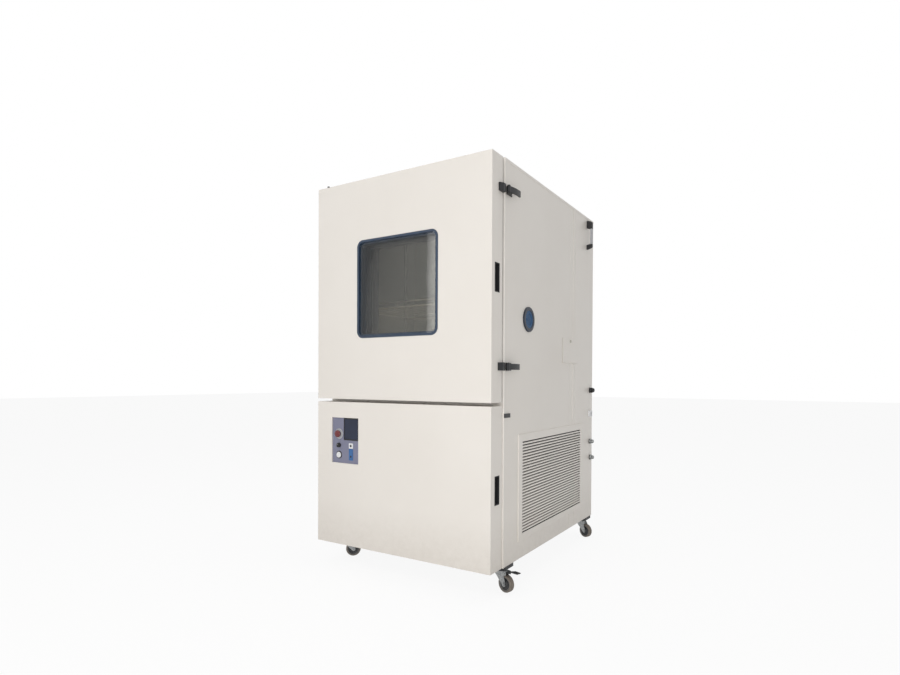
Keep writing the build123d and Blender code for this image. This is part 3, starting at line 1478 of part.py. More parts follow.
export_step(lower_door_shell.part, "parts/lower_door_shell.step")

with BuildPart() as lower_handle_pocket:
    grip_pocket(lower_pocket)
    fillet(lower_handle_pocket.edges().filter_by(Axis.X), radius=pocket_wall / 2)
lower_handle_pocket.part.label = "lower_handle_pocket"
export_step(lower_handle_pocket.part, "parts/lower_handle_pocket.step")


# A point of the control field, given from the door's left edge and the cabinet's underside
def field_spot(place):
    return (place[0] - door_x, base_z + place[1])


# A round bar through the control field, from one depth to another behind the plate's face
def field_rod(place, start, end, radius, mode=Mode.ADD):
    spot_x, spot_z = field_spot(place)
    rod((spot_x, plate_y + start, spot_z), (spot_x, plate_y + end, spot_z), radius, mode)


# A rectangular body through the control field
def field_block(place, size, start, end, mode=Mode.ADD):
    spot_x, spot_z = field_spot(place)
    block(
        (spot_x - size[0] / 2, spot_x + size[0] / 2),
        (plate_y + start, plate_y + end),
        (spot_z - size[1] / 2, spot_z + size[1] / 2),
        mode=mode,
    )


screen_back = (screen_size[0] - 2 * screen_body_inset, screen_size[1] - 2 * screen_body_inset)
tail_cut = 2 * device_tail_inset
device_tail_size = (socket_size[0] - tail_cut, socket_size[1] - tail_cut)
limiter_tail_size = (limiter_size[0] - tail_cut, limiter_size[1] - tail_cut)
with BuildPart() as control_plate:
    plate_x = (control_x[0] - control_plate_margin, control_x[1] + control_plate_margin)
    plate_z = (control_z[0] - control_plate_margin, control_z[1] + control_plate_margin)
    block(plate_x, (plate_y, plate_y + control_plate_sheet), plate_z)
    field_block(screen_middle, screen_back, 0, control_plate_sheet, Mode.SUBTRACT)
    field_block(socket_middle, device_tail_size, 0, control_plate_sheet, Mode.SUBTRACT)
    field_block(limiter_middle, limiter_tail_size, 0, control_plate_sheet, Mode.SUBTRACT)
    stem_hole = stop_stem_radius + device_gap
    field_rod(stop_middle, 0, control_plate_sheet, stem_hole, Mode.SUBTRACT)
    field_rod(knob_middle, 0, control_plate_sheet, axle_radius + device_gap, Mode.SUBTRACT)
    stem_hole = button_radius + device_gap
    field_rod(button_middle, 0, control_plate_sheet, stem_hole, Mode.SUBTRACT)
control_plate.part.label = "control_plate"
export_step(control_plate.part, "parts/control_plate.step")

with BuildPart() as touch_screen:
    field_block(screen_middle, screen_size, -screen_proud, 0)
    field_block(screen_middle, screen_back, 0, screen_body)
    chamfer(touch_screen.faces().sort_by(Axis.Y)[0].edges(), length=face_bevel)
touch_screen.part.label = "touch_screen"
export_step(touch_screen.part, "parts/touch_screen.step")

# Collars, socket and limiter of the control field, each seated on the plate
with BuildPart() as control_bezels:
    field_rod(stop_middle, -stop_collar, 0, stop_collar_radius)
    field_rod(stop_middle, -stop_collar, 0, stop_stem_radius + device_gap, Mode.SUBTRACT)
    field_rod(button_middle, -button_bezel, 0, button_bezel_radius)
    field_rod(button_middle, -button_bezel, 0, button_radius + device_gap, Mode.SUBTRACT)
    field_block(socket_middle, socket_size, -device_proud, 0)
    field_block(socket_middle, device_tail_size, 0, device_tail)
    field_rod(socket_middle, -device_proud, 0, socket_hole_radius, Mode.SUBTRACT)
    field_block(limiter_middle, limiter_size, -device_proud, 0)
    field_block(limiter_middle, limiter_tail_size, 0, device_tail)
    dial_middle = (limiter_middle[0], limiter_middle[1] - limiter_drop)
    field_rod(dial_middle, -device_proud, 0, limiter_hole_radius, Mode.SUBTRACT)
control_bezels.part.label = "control_bezels"
export_step(control_bezels.part, "parts/control_bezels.step")

# Emergency stop: a mushroom head on its stem, free to be pushed in
with BuildPart() as emergency_stop:
    head_back = -stop_collar - stop_travel - stop_gap
    field_rod(stop_middle, head_back, control_plate_sheet + stem_tail, stop_stem_radius)
    field_rod(stop_middle, -stop_height, head_back, stop_radius)
    fillet(
        emergency_stop.faces().sort_by(Axis.Y)[0].edges(),
        radius=(stop_height + head_back) * stop_roundness,
    )
emergency_stop.part.label = "emergency_stop"
export_step(emergency_stop.part, "parts/emergency_stop.step")

with BuildPart() as selector_knob:
    field_rod(knob_middle, -knob_height, -device_gap, knob_radius)
    field_rod(knob_middle, -device_gap, control_plate_sheet + stem_tail, axle_radius)
    grip_spot = (knob_grip[0], 2 * knob_radius - knob_grip[1])
    chamfer(selector_knob.faces().sort_by(Axis.Y)[0].edges(), length=face_bevel)
    field_block(knob_middle, grip_spot, -knob_height - knob_grip[2], -knob_height)
selector_knob.part.label = "selector_knob"
export_step(selector_knob.part, "parts/selector_knob.step")

with BuildPart() as push_button:
    button_back = control_plate_sheet + button_tail
    field_rod(button_middle, -button_bezel - button_proud, button_back, button_radius)
    fillet(push_button.faces().sort_by(Axis.Y)[0].edges(), radius=button_proud * stop_roundness)
push_button.part.label = "push_button"
export_step(push_button.part, "parts/push_button.step")

# Castors. Each stands under its corner on a pad, and its fork trails at its own angle.
castor_x = rim_x - castor_inset
castor_spots = {
    "front_left": (-castor_x, front_y + castor_front_depth),
    "front_right": (castor_x, front_y + castor_front_depth),
    "rear_left": (-castor_x, back_y - castor_back_inset),
    "rear_right": (castor_x, back_y - castor_back_inset),
}
plate_top_z = base_z - castor_pad
race_top_z = plate_top_z - castor_plate_sheet
kingpin_z = fork_top_z - fork_sheet - kingpin_drop
with BuildPart() as castor_mounts:
    for spot_x, spot_y in castor_spots.values():
        half_plate = castor_plate / 2
        pad_x = (spot_x - half_plate, spot_x + half_plate)
        pad_y = (spot_y - half_plate, spot_y + half_plate)
        block(pad_x, pad_y, (race_top_z, base_z))
        race_low_z = fork_top_z + race_gap
        rod((spot_x, spot_y, race_low_z), (spot_x, spot_y, race_top_z), race_radius)
        rod((spot_x, spot_y, kingpin_z), (spot_x, spot_y, race_low_z), kingpin_radius)
        nut_z = kingpin_z + kingpin_nut[1]
        nut_radius = kingpin_radius + kingpin_nut[0]
        rod((spot_x, spot_y, kingpin_z), (spot_x, spot_y, nut_z), nut_radius)
castor_mounts.part.label = "castor_mounts"
export_step(castor_mounts.part, "parts/castor_mounts.step")


# The upright plane along a castor's fork, through its kingpin
def fork_plane(spot, swivel, across):
    turn = math.radians(swivel)
    along = Vector(math.cos(turn), math.sin(turn), 0)
    over = Vector(math.sin(turn), -math.cos(turn), 0)
    return Plane(origin=Vector(spot[0], spot[1], 0) + over * across, x_dir=along, z_dir=over)


# Fork: a round crown, two tapering legs and the axle between them, with ears for a brake
def castor_fork(spot, swivel, braked):
    crown_z = fork_top_z - fork_sheet
    with BuildSketch(level_plane(crown_z)) as crown:
        with Locations(spot):
            Circle(fork_crown_radius)
            Circle(kingpin_radius + hinge_bore_gap, mode=Mode.SUBTRACT)
    extrude(crown.sketch, amount=fork_sheet)
    for leg_side in (-1, 1):
        near = fork_inside / 2 if leg_side > 0 else -fork_inside / 2 - fork_sheet
        with BuildSketch(fork_plane(spot, swivel, near)) as leg:
            Polygon(
                (-fork_crown_radius + fork_crown_margin, fork_top_z),
                (-fork_crown_radius + fork_crown_margin, fork_top_z - fork_shoulder[0]),
                (castor_trail - fork_foot_radius, wheel_radius - fork_foot_drop),
                (castor_trail + fork_foot_radius, wheel_radius),
                (fork_crown_radius + fork_leg_edge, fork_top_z - fork_shoulder[1]),
                (fork_crown_radius - fork_leg_edge, fork_top_z),
                align=None,
            )
            with Locations((castor_trail, wheel_radius)):
                Circle(fork_foot_radius)
            if braked:
                ear_low_z = pedal_pivot[1] - 2 * pedal_barrel_radius
                Polygon(
                    (0, fork_top_z),
                    (0, ear_low_z),
                    (pedal_pivot[0] + pedal_barrel_radius, ear_low_z),
                    (pedal_pivot[0] + 2 * pedal_barrel_radius, pedal_pivot[1]),
                    (pedal_pivot[0] + pedal_barrel_radius, fork_top_z),
                    align=None,
                )
                with Locations(pedal_pivot):
                    Circle(pedal_pin_radius + hinge_bore_gap, mode=Mode.SUBTRACT)
        extrude(leg.sketch, amount=fork_sheet)
    with BuildSketch(fork_plane(spot, swivel, -fork_inside / 2 - fork_sheet)) as bridge:
        with Locations((0, fork_top_z - fork_sheet / 2)):
            Rectangle(fork_crown_radius + fork_crown_margin, fork_sheet)
    extrude(bridge.sketch, amount=fork_inside + 2 * fork_sheet)
    with BuildSketch(level_plane(crown_z)) as hole:
        with Locations(spot):
            Circle(kingpin_radius + hinge_bore_gap)
    extrude(hole.sketch, amount=fork_sheet, mode=Mode.SUBTRACT)
    nut_reach = fork_inside / 2 + fork_sheet + axle_nut[1]
    with BuildSketch(fork_plane(spot, swivel, -nut_reach)) as axle:
        with Locations((castor_trail, wheel_radius)):
            Circle(axle_radius)
    extrude(axle.sketch, amount=2 * nut_reach)
    for nut_start in (-nut_reach, fork_inside / 2 + fork_sheet):
        with BuildSketch(fork_plane(spot, swivel, nut_start)) as nut:
            with Locations((castor_trail, wheel_radius)):
                RegularPolygon(axle_radius + axle_nut[0], hexagon)
        extrude(nut.sketch, amount=axle_nut[1])


# Wheel: half section turned about the axle, with a dished disc and a rounded tread
def castor_wheel(spot, swivel):
    plane = fork_plane(spot, swivel, 0)
    centre = plane.from_local_coords((castor_trail, wheel_radius, 0))
    section_plane = Plane(origin=centre, x_dir=plane.z_dir, z_dir=plane.x_dir)
    half_tread = wheel_width / 2
    half_hub = hub_width / 2
    rim_radius = wheel_radius - tyre_depth
    with BuildSketch(section_plane) as half:
        with BuildLine():
            bore = axle_radius + axle_gap
            Polyline(
                (-half_hub, bore),
                (-half_hub, hub_radius),
                (-half_tread + disc_dish, hub_radius + disc_dish),
                (-half_tread + disc_dish, rim_radius - disc_dish),
                (-half_tread, rim_radius),
                (-half_tread, wheel_radius - tread_bevel),
                (-half_tread + tread_bevel, wheel_radius),
                (half_tread - tread_bevel, wheel_radius),
                (half_tread, wheel_radius - tread_bevel),
                (half_tread, rim_radius),
                (half_tread - disc_dish, rim_radius - disc_dish),
                (half_tread - disc_dish, hub_radius + disc_dish),
                (half_hub, hub_radius),
                (half_hub, bore),
                (-half_hub, bore),
            )
        make_face()
    revolve(half.sketch, axis=Axis(centre, plane.z_dir))


# Brake pedal of a front castor: an arm from its pin between the ears to a ribbed tread
def brake_pedal(spot, swivel):
    tread_start = pedal_reach - pedal_tread
    tread_z = pedal_pivot[1] + pedal_rise
    with BuildSketch(fork_plane(spot, swivel, -pedal_width / 2)) as pedal:
        with Locations(pedal_pivot):
            Circle(pedal_barrel_radius)
        Polygon(
            (pedal_pivot[0], pedal_pivot[1] + pedal_barrel_radius),
            (tread_start, tread_z),
            (pedal_reach, tread_z + pedal_lip),
            (pedal_reach, tread_z + pedal_lip - pedal_sheet),
            (tread_start, tread_z - pedal_sheet),
            (pedal_pivot[0] + pedal_barrel_radius, pedal_pivot[1]),
            align=None,
        )
        for ridge in range(pedal_ridges):
            ridge_reach = tread_start + (ridge + 1) * pedal_ridge_pitch
            with Locations((ridge_reach, tread_z + pedal_ridge[1] / 2)):
                Rectangle(pedal_ridge[0], pedal_ridge[1])
    extrude(pedal.sketch, amount=pedal_width)
    pin_reach = fork_inside / 2 + fork_sheet + pin_tail
    with BuildSketch(fork_plane(spot, swivel, -pin_reach)) as pin:
        with Locations(pedal_pivot):
            Circle(pedal_pin_radius)
    extrude(pin.sketch, amount=2 * pin_reach)


for castor_name, castor_spot in castor_spots.items():
    castor_swivel = castor_swivels[castor_name]
    with BuildPart() as castor_fork_piece:
        castor_fork(castor_spot, castor_swivel, castor_name.startswith("front"))
    castor_fork_piece.part.label = f"castor_fork_{castor_name}"
    export_step(castor_fork_piece.part, f"parts/castor_fork_{castor_name}.step")
    with BuildPart() as castor_wheel_piece:
        castor_wheel(castor_spot, castor_swivel)
    castor_wheel_piece.part.label = f"castor_wheel_{castor_name}"
    export_step(castor_wheel_piece.part, f"parts/castor_wheel_{castor_name}.step")
    if castor_name.startswith("front"):
        with BuildPart() as brake_pedal_piece:
            brake_pedal(castor_spot, castor_swivel)
        brake_pedal_piece.part.label = f"brake_pedal_{castor_name}"
        export_step(brake_pedal_piece.part, f"parts/brake_pedal_{castor_name}.step")
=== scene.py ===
import math
import bpy
import bmesh
from mathutils import Matrix, Vector


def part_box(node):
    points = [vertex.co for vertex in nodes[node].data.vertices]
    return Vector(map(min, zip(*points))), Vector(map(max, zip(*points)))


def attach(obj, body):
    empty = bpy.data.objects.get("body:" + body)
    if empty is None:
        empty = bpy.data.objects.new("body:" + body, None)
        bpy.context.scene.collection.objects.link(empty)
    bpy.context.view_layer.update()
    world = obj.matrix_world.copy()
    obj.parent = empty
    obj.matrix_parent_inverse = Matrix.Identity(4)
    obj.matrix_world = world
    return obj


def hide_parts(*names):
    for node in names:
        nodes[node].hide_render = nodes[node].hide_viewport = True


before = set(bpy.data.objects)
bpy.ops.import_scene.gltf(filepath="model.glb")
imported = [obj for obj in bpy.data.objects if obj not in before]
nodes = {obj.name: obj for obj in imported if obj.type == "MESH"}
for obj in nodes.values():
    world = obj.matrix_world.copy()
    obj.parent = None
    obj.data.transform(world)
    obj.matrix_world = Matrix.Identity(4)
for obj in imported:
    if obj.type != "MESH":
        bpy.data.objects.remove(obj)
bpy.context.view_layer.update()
print("frame loaded:", len(nodes), "nodes")


# sRGB hex values to linear light
def linearColour(hexCode):
    channels = []
    for start in (1, 3, 5):
        value = int(hexCode[start:start + 2], 16) / 255
        channels.append(value / 12.92 if value <= 0.04045 else ((value + 0.055) / 1.055) ** 2.4)
    return (*channels, 1.0)


# one shader node, with its settings and what feeds it; the owner is a material or the world
def addNode(owner, kind, settings=None, links=None):
    node = owner.node_tree.nodes.new(kind)
    for name, value in (settings or {}).items():
        if isinstance(name, str) and hasattr(node, name):
            setattr(node, name, value)
        else:
            node.inputs[name].default_value = value
    for socket, (source, output) in (links or {}).items():
        owner.node_tree.links.new(source.outputs[output], node.inputs[socket])
    return node


def joinSocket(owner, source, output, target, socket):
    owner.node_tree.links.new(source.outputs[output], target.inputs[socket])


def newMaterial(name, surface):
    material = bpy.data.materials.new(name)
    material.use_nodes = True
    shader = material.node_tree.nodes["Principled BSDF"]
    for socket, value in surface.items():
        shader.inputs[socket].default_value = value
    return material, shader


def perMetre(millimetres):
    return 1000.0 / millimetres  # a noise of scale 1 repeats about once a metre


# powder-coated sheet steel: a warm white satin that shifts slowly in tone and has a faint orange peel,
# with painted shade darkening its lowest edge
paintLook = {
    "light": "#EBE6DF", "shade": "#E3DDD5", "toneMm": 420, "rough": (0.34, 0.46),
    "ior": 1.5, "coat": 0.12, "coatRough": 0.2,
    # the darker colour below, with its heights and specks, is painted shade along the lowest edge near
    # the floor
    "paintedLowShade": "#B4AA9D", "paintedLowShadeStart": 0.36, "paintedLowShadeEnd": 0.125, "paintedLowShadeMost": 0.5, "speckMm": 30,
    "peelMm": 5, "peelStrength": 0.3, "peelHeight": 0.00012,
}


def makePaint(name, look):
    material, shader = newMaterial(name, {
        "IOR": look["ior"], "Coat Weight": look["coat"], "Coat Roughness": look["coatRough"]})
    place = addNode(material, "ShaderNodeTexCoord")
    tone = addNode(material, "ShaderNodeTexNoise",
                   {"Scale": perMetre(look["toneMm"]), "Detail": 3.0, "Roughness": 0.55},
                   {"Vector": (place, "Object")})
    toneMix = addNode(material, "ShaderNodeMix",
                      {"data_type": "RGBA", 6: linearColour(look["light"]),
                       7: linearColour(look["shade"])},
                      {0: (tone, "Fac")})
    height = addNode(material, "ShaderNodeSeparateXYZ", {}, {0: (place, "Object")})
    low = addNode(material, "ShaderNodeMapRange",
                  {"From Min": look["paintedLowShadeStart"], "From Max": look["paintedLowShadeEnd"],
                   "To Min": 0.0, "To Max": look["paintedLowShadeMost"]},
                  {"Value": (height, "Z")})  # painted shade: the paint turns darker towards its lowest edge, broken up by specks
    speck = addNode(material, "ShaderNodeTexNoise",
                    {"Scale": perMetre(look["speckMm"]), "Detail": 6.0, "Roughness": 0.7},
                    {"Vector": (place, "Object")})
    paintedLowShade = addNode(material, "ShaderNodeMath", {"operation": "MULTIPLY"},
                   {0: (low, "Result"), 1: (speck, "Fac")})
    paintedLowShadeMix = addNode(material, "ShaderNodeMix",
                      {"data_type": "RGBA", 7: linearColour(look["paintedLowShade"])},
                      {0: (paintedLowShade, "Value"), 6: (toneMix, 2)})
    joinSocket(material, paintedLowShadeMix, 2, shader, "Base Color")
    sheen = addNode(material, "ShaderNodeMapRange",
                    {"To Min": look["rough"][0], "To Max": look["rough"][1]},
                    {"Value": (tone, "Fac")})
    joinSocket(material, sheen, "Result", shader, "Roughness")
    # real peel is 1 to 2 mm across; it is drawn at 5 mm so that it shows at all
    peel = addNode(material, "ShaderNodeTexNoise", {"Scale": perMetre(look["peelMm"]), "Detail": 2.0},
                   {"Vector": (place, "Object")})
    bump = addNode(material, "ShaderNodeBump",
                   {"Strength": look["peelStrength"], "Distance": look["peelHeight"]},
                   {"Height": (peel, "Fac")})
    joinSocket(material, bump, "Normal", shader, "Normal")
    return material


powderCoatedSteel = makePaint("powderCoatedSteel", paintLook)

# brushed stainless steel: fine lines one way, bright with a soft streak across them
# real brush lines are about 0.2 mm apart; they are drawn at 1.5 mm so that they show
stainlessLook = {"light": "#C9C8C4", "shade": "#AFAEAA", "lineMm": 1.5, "lengthMm": 160,
                 "rough": (0.22, 0.38), "depth": 0.15, "lineHeight": 0.00008}
# drawn stainless wire: paler and smoother, with die marks along the rod
wireLook = {**stainlessLook, "light": "#D8D7D3", "lineMm": 3, "rough": (0.15, 0.3)}


def makeBrushed(name, look, along):
    material, shader = newMaterial(name, {"Metallic": 1.0})
    place = addNode(material, "ShaderNodeTexCoord")
    fine, long = perMetre(look["lineMm"]), perMetre(look["lengthMm"])
    stretch = [long if axis == along else fine for axis in "XYZ"]
    lay = addNode(material, "ShaderNodeMapping", {"Scale": stretch}, {"Vector": (place, "Object")})
    lines = addNode(material, "ShaderNodeTexNoise", {"Scale": 1.0, "Detail": 4.0},
                    {"Vector": (lay, "Vector")})
    mix = addNode(material, "ShaderNodeMix",
                  {"data_type": "RGBA", 6: linearColour(look["light"]),
                   7: linearColour(look["shade"])},
                  {0: (lines, "Fac")})
    joinSocket(material, mix, 2, shader, "Base Color")
    rough = addNode(material, "ShaderNodeMapRange",
                    {"To Min": look["rough"][0], "To Max": look["rough"][1]},
                    {"Value": (lines, "Fac")})
    joinSocket(material, rough, "Result", shader, "Roughness")
    bump = addNode(material, "ShaderNodeBump",
                   {"Strength": look["depth"], "Distance": look["lineHeight"]},
                   {"Height": (lines, "Fac")})
    joinSocket(material, bump, "Normal", shader, "Normal")
    return material


brushedStainless = makeBrushed("brushedStainless", stainlessLook, "X")
drawnWire = makeBrushed("drawnStainlessWire", wireLook, "Y")

# hot-dip galvanised sheet: grey zinc with grown crystals a few centimetres wide
galvanisedLook = {"light": "#B9BBBC", "shade": "#9A9D9F", "crystalMm": 22, "rough": (0.32, 0.5)}
# passivated zinc on pressed castor steel: a darker grey, with small crystals
passivatedLook = {"light": "#A3A4A3", "shade": "#7E8081", "crystalMm": 6, "rough": (0.24, 0.4)}
# zinc-plated screws and lock: bright with a yellow cast
platedLook = {"light": "#C4C1B6", "shade": "#A6A398", "crystalMm": 6, "rough": (0.22, 0.4)}


def makeZinc(name, look):
    material, shader = newMaterial(name, {"Metallic": 1.0})
    place = addNode(material, "ShaderNodeTexCoord")
    crystal = addNode(material, "ShaderNodeTexVoronoi", {"Scale": perMetre(look["crystalMm"])},
                      {"Vector": (place, "Object")})
    grain = addNode(material, "ShaderNodeSeparateXYZ", {}, {0: (crystal, "Color")})
    mix = addNode(material, "ShaderNodeMix",
                  {"data_type": "RGBA", 6: linearColour(look["light"]),
                   7: linearColour(look["shade"])},
                  {0: (grain, "X")})
    joinSocket(material, mix, 2, shader, "Base Color")
    rough = addNode(material, "ShaderNodeMapRange",
                    {"To Min": look["rough"][0], "To Max": look["rough"][1]},
                    {"Value": (grain, "Y")})
    joinSocket(material, rough, "Result", shader, "Roughness")
    return material


galvanisedSheet = makeZinc("galvanisedSheet", galvanisedLook)
passivatedZinc = makeZinc("passivatedZincSteel", passivatedLook)
zincPlatedSteel = makeZinc("zincPlatedSteel", platedLook)


# moulded, cast and sprayed finishes: patches of two tones and roughnesses, and a grain in the bump
# real grain is 0.1 to 0.5 mm across; it is drawn at 1.5 mm and more so that it shows
def makeGrained(name, look):
    material, shader = newMaterial(name, {
        "Metallic": look.get("metal", 0.0), "IOR": look.get("ior", 1.46),
        "Coat Weight": look.get("coat", 0.0), "Coat Roughness": 0.12})
    place = addNode(material, "ShaderNodeTexCoord")
    patch = addNode(material, "ShaderNodeTexNoise",
                    {"Scale": perMetre(look["patchMm"]), "Detail": 5.0},
                    {"Vector": (place, "Object")})
    mix = addNode(material, "ShaderNodeMix",
                  {"data_type": "RGBA", 6: linearColour(look["light"]),
                   7: linearColour(look["shade"])},
                  {0: (patch, "Fac")})
    joinSocket(material, mix, 2, shader, "Base Color")
    rough = addNode(material, "ShaderNodeMapRange",
                    {"To Min": look["rough"][0], "To Max": look["rough"][1]},
                    {"Value": (patch, "Fac")})
    joinSocket(material, rough, "Result", shader, "Roughness")
    grain = addNode(material, "ShaderNodeTexNoise",
                    {"Scale": perMetre(look["grainMm"]), "Detail": 3.0},
                    {"Vector": (place, "Object")})
    bump = addNode(material, "ShaderNodeBump",
                   {"Strength": look.get("depth", 0.3), "Distance": 0.0001},
                   {"Height": (grain, "Fac")})
    joinSocket(material, bump, "Normal", shader, "Normal")
    return material


# die-cast zinc with sprayed black paint: a dark satin skin with a fine grain
blackEnamel = makeGrained("blackEnamelledZinc", {
    "light": "#26272A", "shade": "#151618", "patchMm": 40, "grainMm": 2, "rough": (0.34, 0.52)})
# moulded black nylon: duller than the enamel, slightly grey on its edges
mouldedNylon = makeGrained("mouldedBlackNylon", {
    "light": "#2B2B2D", "shade": "#1A1A1C", "patchMm": 25, "grainMm": 1.5, "rough": (0.48, 0.62)})
# sprayed navy enamel on the steel window frame: satin, a little blue in the light
navyEnamel = makeGrained("navyEnamelledSteel", {
    "light": "#2B4058", "shade": "#1B2C42", "patchMm": 90, "grainMm": 3, "rough": (0.28, 0.4),
    "coat": 0.3})
# moulded navy nylon of the port's ring: darker than the window frame, and duller
navyPlastic = makeGrained("mouldedNavyNylon", {
    "light": "#232E3D", "shade": "#161E2B", "patchMm": 30, "grainMm": 1.5, "rough": (0.36, 0.5)})
# pressed silicone of the port's plug: matt blue, with dust lying on it
blueSilicone = makeGrained("pressedBlueSilicone", {
    "light": "#23537C", "shade": "#1A4166", "patchMm": 28, "grainMm": 2, "rough": (0.5, 0.66),
    "depth": 0.4})
# extruded silicone of the door seal: a flat black that takes almost no shine
blackSilicone = makeGrained("extrudedBlackSilicone", {
    "light": "#1B1B1C", "shade": "#0F0F10", "patchMm": 60, "grainMm": 2, "rough": (0.55, 0.7)})
# cut polyurethane foam inside the walls: yellow, matt, with open cells
cutFoam = makeGrained("cutPolyurethaneFoam", {
    "light": "#E3D3A4", "shade": "#CDB983", "patchMm": 12, "grainMm": 3, "rough": (0.85, 0.95),
    "depth": 0.8})
# enamelled cast iron of compressor and motor: black with a wet gloss
machineEnamel = makeGrained("enamelledCastIron", {
    "light": "#1D1F22", "shade": "#121315", "patchMm": 60, "grainMm": 3, "rough": (0.3, 0.45),
    "coat": 0.4})
# rolled aluminium fins: pale metal with slight smears
rolledAluminium = makeGrained("rolledAluminiumFins", {
    "light": "#C6C9CB", "shade": "#AEB2B5", "patchMm": 35, "grainMm": 4, "rough": (0.3, 0.42),
    "metal": 1.0})
# epoxy-coated condenser fins: a dull grey skin that hides the metal
coatedFins = makeGrained("epoxyCoatedFins", {
    "light": "#7B7A78", "shade": "#676665", "patchMm": 35, "grainMm": 4, "rough": (0.5, 0.62)})
# dark anodised aluminium spacers between the panes: a soft metallic navy
anodisedSpacer = makeGrained("anodisedPaneSpacers", {
    "light": "#3C4F66", "shade": "#2C3C52", "patchMm": 50, "grainMm": 2, "rough": (0.4, 0.5),
    "metal": 0.5})
# painted plate of the control field: a flat violet grey
greyPaintedPlate = makeGrained("paintedControlPlate", {
    "light": "#84859A", "shade": "#77788C", "patchMm": 70, "grainMm": 3, "rough": (0.4, 0.5)})
# moulded ABS of collars, buttons and devices: even colour with a soft shine
greyAbs = makeGrained("mouldedGreyAbs", {
    "light": "#B9BABD", "shade": "#A6A7AB", "patchMm": 18, "grainMm": 1.5, "rough": (0.38, 0.5)})
whiteAbs = makeGrained("mouldedWhiteAbs", {
    "light": "#E9E9EA", "shade": "#DADADC", "patchMm": 18, "grainMm": 1.5, "rough": (0.35, 0.46)})
blueAbs = makeGrained("mouldedBlueAbs", {
    "light": "#3D6EA6", "shade": "#315D91", "patchMm": 18, "grainMm": 1.5, "rough": (0.34, 0.46)})
# polished red ABS of the emergency stop: deep, with a clear shine
redAbs = makeGrained("mouldedRedAbs", {
    "light": "#761D22", "shade": "#5C1519", "patchMm": 18, "grainMm": 1.5, "rough": (0.25, 0.36),
    "coat": 0.3})
# polished cover glass over an unlit display: dark blue and mirror-like
screenGlass = makeGrained("polishedScreenGlass", {
    "light": "#1E2A44", "shade": "#141C30", "patchMm": 60, "grainMm": 20, "rough": (0.10, 0.16),
    "depth": 0.02})
# cast polyurethane tread of the castors: grey-brown rubber, scuffed matt
castTread = makeGrained("castPolyurethaneTread", {
    "light": "#857B71", "shade": "#665E56", "patchMm": 14, "grainMm": 2, "rough": (0.5, 0.7),
    "depth": 0.6})
# moulded nylon of the castor discs: near black, with a faint shine
castorNylon = makeGrained("mouldedCastorNylon", {
    "light": "#2E2F31", "shade": "#1F2022", "patchMm": 14, "grainMm": 1.5, "rough": (0.36, 0.5)})
# moulded grey nylon ring between disc and tread: a paler line round the dark disc
castorRing = makeGrained("mouldedGreyRing", {
    "light": "#6E6C69", "shade": "#5B5957", "patchMm": 14, "grainMm": 1.5, "rough": (0.4, 0.52)})
# needled polyester mat of the air filter: a dark matt felt that also serves as painted shade seen
# through the grille's slots
feltSlotShade = makeGrained("needledFeltSlotShade", {
    "light": "#2A2B2C", "shade": "#1C1D1E", "patchMm": 10, "grainMm": 1.5, "rough": (0.85, 0.95),
    "depth": 0.9})

# float glass in thin panes: light goes straight through, with a weak, slightly wavy mirror image
glassLook = {"ior": 1.5, "body": "#DDE6E6", "rough": 0.02, "clear": "#F4F4F1", "mirror": "#FFFFFF",
             "mirrorRough": 0.015, "rippleMm": 180, "ripple": 0.25, "rippleHeight": 0.002}


def makePaneGlass(name, look):
    material, shader = newMaterial(name, {
        "IOR": look["ior"], "Base Color": linearColour(look["body"]), "Roughness": look["rough"]})
    output = material.node_tree.nodes["Material Output"]
    clear = addNode(material, "ShaderNodeBsdfTransparent", {"Color": linearColour(look["clear"])})
    mirror = addNode(material, "ShaderNodeBsdfGlossy",
                     {"Roughness": look["mirrorRough"], "Color": linearColour(look["mirror"])})
    place = addNode(material, "ShaderNodeTexCoord")
    ripple = addNode(material, "ShaderNodeTexNoise",
                     {"Scale": perMetre(look["rippleMm"]), "Detail": 2.0},
                     {"Vector": (place, "Object")})
    wave = addNode(material, "ShaderNodeBump",
                   {"Strength": look["ripple"], "Distance": look["rippleHeight"]},
                   {"Height": (ripple, "Fac")})
    joinSocket(material, wave, "Normal", mirror, "Normal")
    bend = addNode(material, "ShaderNodeFresnel", {"IOR": look["ior"]})
    joined = addNode(material, "ShaderNodeMixShader", {},
                     {0: (bend, "Fac"), 1: (clear, "BSDF"), 2: (mirror, "BSDF")})
    joinSocket(material, joined, "Shader", output, "Surface")
    return material


floatGlass = makePaneGlass("floatGlassPane", glassLook)
print("materials made:", len(bpy.data.materials))

